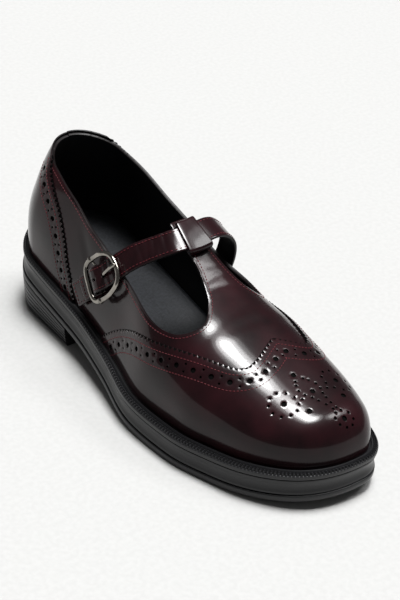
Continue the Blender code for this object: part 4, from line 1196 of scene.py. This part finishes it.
# %% Bending flat places to the route
def on_route(rows, distance):
    """One of the route's tables, read at distances along it."""
    return np.stack([np.interp(distance, route_run, rows[:, i]) for i in range(3)], axis=-1)


def strap_axes(distance):
    """Point of the route, and its sideways and outward directions."""
    forward = unit(on_route(route_forward, distance))
    outward = on_route(route_out, distance)
    outward = unit(outward - forward * (outward * forward).sum(-1, keepdims=True))
    return on_route(route_on, distance), np.cross(outward, forward), outward


def strap_place(flat):
    """Place of points given as distance, across and lift."""
    flat = np.asarray(flat, float)
    point, side, outward = strap_axes(flat[..., 0])
    return point + side * flat[..., 1:2] + outward * flat[..., 2:3]


# %% Sizes of the straps and the buckle
STRAP, STRAP_WALL, SHORT_WALL = 14.5 * MM, 1.8 * MM, 1.3 * MM
SEAT = 0.6 * MM
BAR_PLACE = 27 * MM
BUCKLE_PLACE = BAR_PLACE + 5 * MM
FRAME_THICK, FRAME_BROAD, BOSS = 1.15 * MM, 1.5 * MM, 1.9 * MM
FREE_END = 22 * MM
LOOP_LONG, LOOP_WALL = 21 * MM, 1.2 * MM
FRAME_LONG, FRAME_WIDE, FRAME_WIRE = 29 * MM, 27 * MM, 1.3 * MM
BAR_RADIUS, PRONG_RADIUS = 0.7 * MM, 0.8 * MM
HOLE_PLACE, SPARE_PLACE, SLOT_REACH, STRAP_HOLE = 3.0 * MM, -4.5 * MM, 1.8 * MM, 1.2 * MM
FOLD_RADIUS = BAR_RADIUS + FIT + SHORT_WALL
BAR_LIFT = SEAT + FOLD_RADIUS
LOW_LIFT = SEAT + SHORT_WALL + FIT
FRAME_LIFT = LOW_LIFT + STRAP_WALL + FIT + FRAME_WIRE
LOOP_PLACE = float(np.interp(0.64, route_steps, route_run))
print("strap", round(STRAP / MM, 1), "mm wide, tunnel at", round(LOOP_PLACE / MM, 1), "mm of the route")

# %% How far the long strap lies off the last
under_frame = FRAME_LONG / 2 - 2 * FRAME_WIRE - FIT
strap_lift = soft_curve(
    [BUCKLE_PLACE - FREE_END, BUCKLE_PLACE - under_frame, BAR_PLACE - FOLD_RADIUS, BAR_PLACE,
     BUCKLE_PLACE + HOLE_PLACE, BUCKLE_PLACE + under_frame, BUCKLE_PLACE + FRAME_LONG, LOOP_PLACE - TBAR,
     LOOP_PLACE + TBAR, ROUTE_LENGTH - STRAP, ROUTE_LENGTH],
    [LOW_LIFT, LOW_LIFT, BAR_LIFT + FOLD_RADIUS + FIT, BAR_LIFT + FOLD_RADIUS + 2 * FIT, BAR_LIFT + FIT,
     LOW_LIFT, LOW_LIFT, SEAT + LOOP_WALL + FIT, SEAT + LOOP_WALL + FIT, SEAT, SEAT], 0.008)


# %% [markdown]
# The long strap is cut flat with rounded ends, its prong hole and a spare hole, by the same cutter as the
# panels. It is bent point by point, and gets its wall when it is bent, so the wall keeps its thickness.


# %% Flat strips and bending
def strip_loop(start, end, half, round_start, round_end):
    """Outline of a flat strip with rounded corners, in distance and across."""
    corners = [(start, -half, round_start, 180), (end, -half, round_end, 270), (end, half, round_end, 0),
               (start, half, round_start, 90)]
    loop = []
    for x, y, radius, first in corners:
        middle = np.array((x + (radius if x == start else -radius), y + (radius if y < 0 else -radius)))
        for k in range(7):
            angle = math.radians(first + 15 * k)
            loop.append(middle + radius * np.array((math.cos(angle), math.sin(angle))))
    dense = []
    for here, there in zip(loop, loop[1:] + loop[:1]):
        count = max(int(math.dist(here, there) / (1.0 * MM)), 1)
        dense += [here + (there - here) * k / count for k in range(count)]
    return np.array(dense)


STRAP_SPACING = 1.1


def hole_loop(distance, reach, radius, sides=16):
    """Outline of a round or long hole in a strip."""
    angles = 2 * np.pi * (np.arange(sides) + 0.5) / sides
    return np.stack((distance + np.cos(angles) * radius + np.sign(np.cos(angles)) * reach,
                     np.sin(angles) * radius), axis=1)


# %% A bent strip
def bent_strip(loops, lift_at, wrinkles):
    """Strip of leather, cut flat and bent along the route."""
    flat, triangles = cut_flat([loop / MM for loop in loops], STRAP_SPACING)
    flat = flat * MM
    lifts = lift_at(flat[:, 0]) + wrinkles(flat)
    bm = bmesh_from(strap_place(np.column_stack((flat, lifts))), triangles)
    drop_loose(bm)
    turn_out(bm, (0, 0, 1))
    return bm


# %% Wrinkles of the long strap
WRINKLE_HALF = 1.1 * MM
# Place along the strap in mm, depth in mm, and lean across it.
DEEP_WRINKLES = [(49, 0.16, 0.10), (52.5, 0.20, -0.06), (56, 0.14, 0.12), (60, 0.18, -0.08),
                 (64.5, 0.16, 0.05), (68, 0.22, 0.12), (71.5, 0.18, -0.10), (74.5, 0.20, 0.06),
                 (38.5, 0.15, 0.08), (20.5, 0.12, -0.1)]


def strap_wrinkles(flat):
    """Fine creases across the strap where it bends to the buckle and to the loop."""
    total = np.zeros(len(flat))
    fine = np.random.default_rng(5)
    small = [(37 + 2.1 * k + fine.uniform(-0.7, 0.7), fine.uniform(0.05, 0.13), fine.uniform(-0.2, 0.2))
             for k in range(25)]
    for middle, depth, tilt in DEEP_WRINKLES + small:
        off = (flat[:, 0] - middle * MM - tilt * flat[:, 1]) / WRINKLE_HALF
        total -= depth * MM * (1 - 0.5 * off ** 2) * np.exp(-0.5 * off ** 2)
    return total


# %% Long strap
strap_start = BUCKLE_PLACE - FREE_END
strap_loops = [strip_loop(strap_start, ROUTE_LENGTH, STRAP / 2, 2.2 * MM, 1.0 * MM),
               hole_loop(BUCKLE_PLACE + HOLE_PLACE, SLOT_REACH * 0.6, STRAP_HOLE),
               hole_loop(BUCKLE_PLACE + SPARE_PLACE, 0.0, 0.8 * MM, 12)]
long_strip = bent_strip(strap_loops, strap_lift, strap_wrinkles)
give_wall(mesh_piece("buckled_strap", long_strip, HIDE, "upper_leather", "strap"), STRAP_WALL, 0.45 * MM)


# %% [markdown]
# The short strap holds the buckle: it is sewn to the quarter at its foot, and folds round the bar. It has
# no holes, so a grid is enough, with its rows along a drawn side view.


# %% Short strap
def fold_profile(flat_count=30, count=14, degrees=230):
    """Distances and lifts of the short strap's lower face: flat, then round the buckle's bar."""
    flat_part = [(BAR_PLACE * k / flat_count, SEAT) for k in range(flat_count)]
    angles = np.radians(-90 + degrees * np.arange(count + 1) / count)
    bend = FOLD_RADIUS * np.column_stack((np.cos(angles), np.sin(angles)))
    return np.vstack((flat_part, bend + (BAR_PLACE, BAR_LIFT)))


profile = fold_profile()
widths = np.linspace(-STRAP / 2, STRAP / 2, 17)
flat_grid = [np.column_stack((profile[:, 0], np.full(len(profile), across), profile[:, 1]))
             for across in widths]
short_strip = shaped_grid(strap_place(np.stack(flat_grid, axis=1)))
turn_out(short_strip, route_out[0])
short = mesh_piece("anchored_strap", short_strip, HIDE, "upper_leather", "buckle_strap")
give_wall(short, SHORT_WALL, 0.3 * MM)

# %% [markdown]
# The end of the T-bar is folded into a tunnel for the strap. Its section is a rounded box inside another,
# drawn across the route, so rings of the outer and the inner box close into one tube.

# %% Tunnel loop of the T-bar
loop_half, loop_low = LOOP_LONG / 2, SEAT
loop_high = loop_low + 2 * LOOP_WALL + STRAP_WALL + 2 * FIT
CORNER = 1.9 * MM


def rounded_box_section(half, low, high, corner, each=6):
    """Closed section of the tunnel, in across and lift."""
    middles = [(half - corner, high - corner, 0), (-half + corner, high - corner, 90),
               (-half + corner, low + corner, 180), (half - corner, low + corner, 270)]
    return np.array([(x + corner * math.cos(math.radians(first + 90 * k / each)),
                      y + corner * math.sin(math.radians(first + 90 * k / each)))
                     for x, y, first in middles for k in range(each + 1)])


outer_section = rounded_box_section(loop_half, loop_low, loop_high, CORNER)
inner_section = rounded_box_section(STRAP / 2 + FIT, loop_low + LOOP_WALL, loop_high - LOOP_WALL, CORNER / 2)
loop_steps = np.linspace(-TBAR / 2, TBAR / 2, 13)
loop_rings = []
for section, order in ((outer_section, 1), (inner_section, -1)):
    loop_rings += [np.column_stack((np.full(len(section), LOOP_PLACE + step), section))
                   for step in loop_steps[::order]]
loop_rings.append(loop_rings[0])
tunnel = weld(shaped_grid(strap_place(np.array(loop_rings)), closed=True))
soften(mesh_piece("tbar_tunnel", tunnel, [OXBLOOD], "upper_leather", "strap_loop"), 0.3 * MM)


# %% Stitches on the straps
THREAD_LIFT = 0.1 * MM


def seam_on_strap(distances, across, lifts):
    """Stitch places at distances along the route, places across it and lifts off it."""
    return strap_place(np.column_stack((distances, across, lifts + THREAD_LIFT))), strap_axes(distances)[2]


def seam_along(start, end, across, lift_at, wall):
    """Stitch places along a strap."""
    distances = np.linspace(start, end, int((end - start) / STITCH_PITCH) + 1)
    lifts = np.array([float(lift_at(distance)) for distance in distances]) + wall
    return seam_on_strap(distances, np.full(len(distances), across), lifts)


def seam_across(distance, half, lift):
    """Stitch places straight across a strap."""
    places = np.linspace(-half, half, int(2 * half / STITCH_PITCH) + 1)
    return seam_on_strap(np.full(len(places), distance), places, np.full(len(places), lift))


# %% Seams of the straps
inset = STRAP / 2 - 1.7 * MM
end_seam = strap_start + 2.5 * MM
anchor_seams = (1.6 * MM, 9.5 * MM)
by_tunnel = TBAR / 2 + 0.6 * MM
strap_seams = []
for side in (-1, 1):
    across = side * inset
    strap_seams += [seam_along(end_seam, LOOP_PLACE - by_tunnel, across, strap_lift, STRAP_WALL),
                    seam_along(LOOP_PLACE + by_tunnel, ROUTE_LENGTH - 2 * MM, across, strap_lift, STRAP_WALL),
                    seam_along(*anchor_seams, across, lambda distance: SEAT, SHORT_WALL)]
for distance in anchor_seams:
    strap_seams.append(seam_across(distance, inset - 2 * MM, SEAT + SHORT_WALL))
strap_seams.append(seam_across(end_seam, inset - 2 * MM, LOW_LIFT + STRAP_WALL))
sew("strap_stitching", strap_seams)

# %% [markdown]
# ## The buckle
#
# The frame is cast zinc with polished nickel plate: rounder towards the strap, squarer behind, a little
# wider than it is thick. A grid bent round in both directions makes it. The bar is thin steel, and the
# prong is a wire that hooks round the bar and lies on the frame.


# %% Bent bars of metal
def swept_bar(centres, halves, closed=False, sides=14):
    """Bar with an oval section along centres given in distance, across and lift; halves are its half
    sizes in the plane of the route and along the lift."""
    places = strap_place(centres)
    _, across, outward = strap_axes(centres[:, 0])
    if closed:
        runs = np.roll(places, -1, axis=0) - np.roll(places, 1, axis=0)
    else:
        runs = np.gradient(places, axis=0)
    runs = unit(runs)
    side = np.cross(runs, outward)
    # Where the bar runs nearly along the lift, the way across the strap stands in for its side.
    tall = np.linalg.norm(side, axis=1) < 0.35
    side[tall] = across[tall]
    side = unit(side)
    up = np.cross(side, runs)
    angles = 2 * np.pi * np.arange(sides) / sides
    wide, thick = halves
    rings = (places[:, None, :] + side[:, None, :] * (np.cos(angles) * wide)[None, :, None]
             + up[:, None, :] * (np.sin(angles) * thick)[None, :, None])
    if closed:
        return weld(shaped_grid(np.concatenate((rings, rings[:1])), closed=True))
    ends = [np.repeat(places[k][None, None, :], sides, axis=1) for k in (0, -1)]
    return weld(shaped_grid(np.concatenate((ends[0], rings, ends[1])), closed=True))


# %% Frame, bar and bosses
# The frame is a superellipse: a higher power is squarer, and its back is squarer than its front.
FRONT_POWER, BACK_POWER = 2.6, 4.0
FRAME_POINTS = 112
angles = 2 * np.pi * np.arange(FRAME_POINTS) / FRAME_POINTS
reach, width = np.cos(angles), np.sin(angles)
power = np.where(reach > 0, FRONT_POWER, BACK_POWER)
size = (np.abs(reach) ** power + np.abs(width) ** power) ** (-1.0 / power)
frame_line = np.column_stack((BUCKLE_PLACE + reach * size * (FRAME_LONG / 2 - FRAME_WIRE),
                              width * size * (FRAME_WIDE / 2 - FRAME_WIRE),
                              np.full(FRAME_POINTS, FRAME_LIFT)))
ring = swept_bar(frame_line, (FRAME_BROAD, FRAME_THICK), closed=True)
bar_outer, bar_inner = FRAME_WIDE / 2 - FRAME_WIRE, STRAP / 2 + 2 * FIT + BAR_RADIUS
half_bar = [(bar_outer, FRAME_LIFT), (bar_outer - 1.0 * MM, FRAME_LIFT - 0.6 * MM),
            (bar_inner, BAR_LIFT + 0.3 * MM), (bar_inner - 1.2 * MM, BAR_LIFT)]
bar_line = np.array([(BAR_PLACE, -across, lift) for across, lift in half_bar]
                    + [(BAR_PLACE, across, lift) for across, lift in half_bar[::-1]])
bar = swept_bar(bar_line, (BAR_RADIUS, BAR_RADIUS))
bosses = bmesh.new()
for way in (-1, 1):
    at = Matrix.Translation(Vector(strap_place(np.array((BAR_PLACE, way * bar_outer, FRAME_LIFT)))))
    bmesh.ops.create_icosphere(bosses, subdivisions=3, radius=BOSS, matrix=at)
mesh_piece("cast_buckle", weld(ring, bar, bosses), [NICKEL], "nickel", "buckle_frame")

# %% Prong
eye = BAR_RADIUS + FIT + PRONG_RADIUS
hole = BUCKLE_PLACE + HOLE_PLACE
strap_here = float(strap_lift(hole))
frame_end = BUCKLE_PLACE + FRAME_LONG / 2 - FRAME_WIRE
over_strap = strap_here + STRAP_WALL + FIT + PRONG_RADIUS
over_frame = FRAME_LIFT + FRAME_THICK + PRONG_RADIUS
knots = [(BAR_PLACE + eye * math.cos(math.radians(d)), BAR_LIFT + eye * math.sin(math.radians(d)))
         for d in (200, 150, 100, 50)]
knots += [(hole - 2.3 * SLOT_REACH, strap_here - PRONG_RADIUS), (hole - 0.8 * SLOT_REACH, strap_here),
          (hole + 0.7 * SLOT_REACH, over_strap), (hole + 2.5 * SLOT_REACH, (over_strap + over_frame) / 2),
          (frame_end - 1.5 * FRAME_WIRE, over_frame), (frame_end + FRAME_WIRE, over_frame)]
knots = np.array(knots)
knot_run = walked(knots)
prong_steps = np.linspace(0.0, knot_run[-1], 60)
prong_along, prong_lift = [soft_curve(knot_run, knots[:, i], 0.02)(prong_steps) for i in (0, 1)]
prong_line = np.column_stack((prong_along, np.zeros_like(prong_steps), prong_lift))
prong = swept_bar(prong_line, (PRONG_RADIUS * 1.15, PRONG_RADIUS * 0.9), sides=12)
mesh_piece("buckle_tongue", prong, [NICKEL], "nickel", "buckle_prong")

# %% [markdown]
# ## The studio
#
# The shoe stands on studio paper. Polished leather shows what is round it, so each lamp has to look like
# a soft box: one over the shoe draws the glare on the vamp and the toe, and a weak one on the inner side
# lifts the far edge. Area lights near the shoe would leave a spot on the paper, so each lamp is a few suns
# inside one another, narrower and brighter towards its middle. The paper is grey, and strong lamps bring
# it up to white. So their glare on the leather is far brighter than the paper's mirror image beside it.

# %% Floor
# The paper ends 60 m away, so that no edge of it shows from above.
FLOOR_REACH = 60.0
floor_bm = bmesh.new()
bmesh.ops.create_grid(floor_bm, x_segments=1, y_segments=1, size=FLOOR_REACH)
floor_mesh = bpy.data.meshes.new("studio_floor")
floor_bm.to_mesh(floor_mesh)
floor_bm.free()
floor = bpy.data.objects.new("studio_floor", floor_mesh)
bpy.context.scene.collection.objects.link(floor)
# Matt studio paper, with a faint 3 mm fibre.
paper = finish("matt_studio_paper", "A3A3A2", "A7A7A6", [(3.0, 0.01, 3.0)], Roughness=0.9)
floor_mesh.materials.append(paper)
print("floor:", floor.name)


# %% Lamps and world
def soft_light(name, direction, *layers):
    """Round studio lamp far away that fades to its rim; each layer is its width in degrees and its
    strength, widest first."""
    for degrees, strength in layers:
        lamp = bpy.data.lights.new(name, "SUN")
        lamp.angle = math.radians(degrees)
        lamp.energy = strength
        light = bpy.data.objects.new(name, lamp)
        light.rotation_euler = Vector(direction).to_track_quat("Z", "Y").to_euler()
        bpy.context.scene.collection.objects.link(light)


soft_light("top_lamp", (-0.10, -0.01, 0.99), (30, 1.5), (21, 3.1), (12, 1.9))
soft_light("left_lamp", (-0.49, 0.20, 0.84), (20, 0.5), (11, 0.4))
ROOM_LIGHT = 0.14
world = bpy.data.worlds.new("studio")
world.use_nodes = True
room = world.node_tree.nodes["Background"]
room.inputs["Color"].default_value = (1.0, 1.0, 1.0, 1.0)
room.inputs["Strength"].default_value = ROOM_LIGHT
bpy.context.scene.world = world
bpy.context.scene.view_settings.view_transform = "Standard"
print("lamps:", len(bpy.data.lights))

# %% [markdown]
# ## The camera
#
# The photo was taken from the buckle's side, from well above the shoe. The camera stands at that angle,
# a step away with a long lens, so that the heel and the toe keep their true proportions. A photographer
# seldom holds a camera quite level, so it is rolled a little too.

# %% Camera
AZIMUTH, ELEVATION, ROLL = map(math.radians, (137.324, 33.843, 5.626))
DISTANCE = 906.6 * MM
# Blender gives a lens and its film width in millimetres, as plain numbers.
LENS, FILM = 93.42, 36.0
LOOK_AT = Vector((-25.372, -12.871, 40.0)) * MM
level = Vector((math.sin(AZIMUTH), -math.cos(AZIMUTH), 0.0))
back = level * math.cos(ELEVATION) + Vector((0, 0, math.sin(ELEVATION)))
right = (-back).cross(Vector((0, 0, 1))).normalized()
up = right.cross(-back)
camera_right = right * math.cos(ROLL) + up * math.sin(ROLL)
camera_up = up * math.cos(ROLL) - right * math.sin(ROLL)
camera_data = bpy.data.cameras.new("photo_camera")
camera_data.lens = LENS
camera_data.sensor_width = FILM
camera = bpy.data.objects.new("photo_camera", camera_data)
camera.matrix_world = Matrix.Translation(LOOK_AT + back * DISTANCE) @ Matrix(
    (camera_right, camera_up, back)).transposed().to_4x4()
bpy.context.scene.collection.objects.link(camera)
bpy.context.scene.camera = camera
print("camera:", round(DISTANCE / MM), "mm away with a", round(LENS), "mm lens")

# %% Update the scene
bpy.context.view_layer.update()
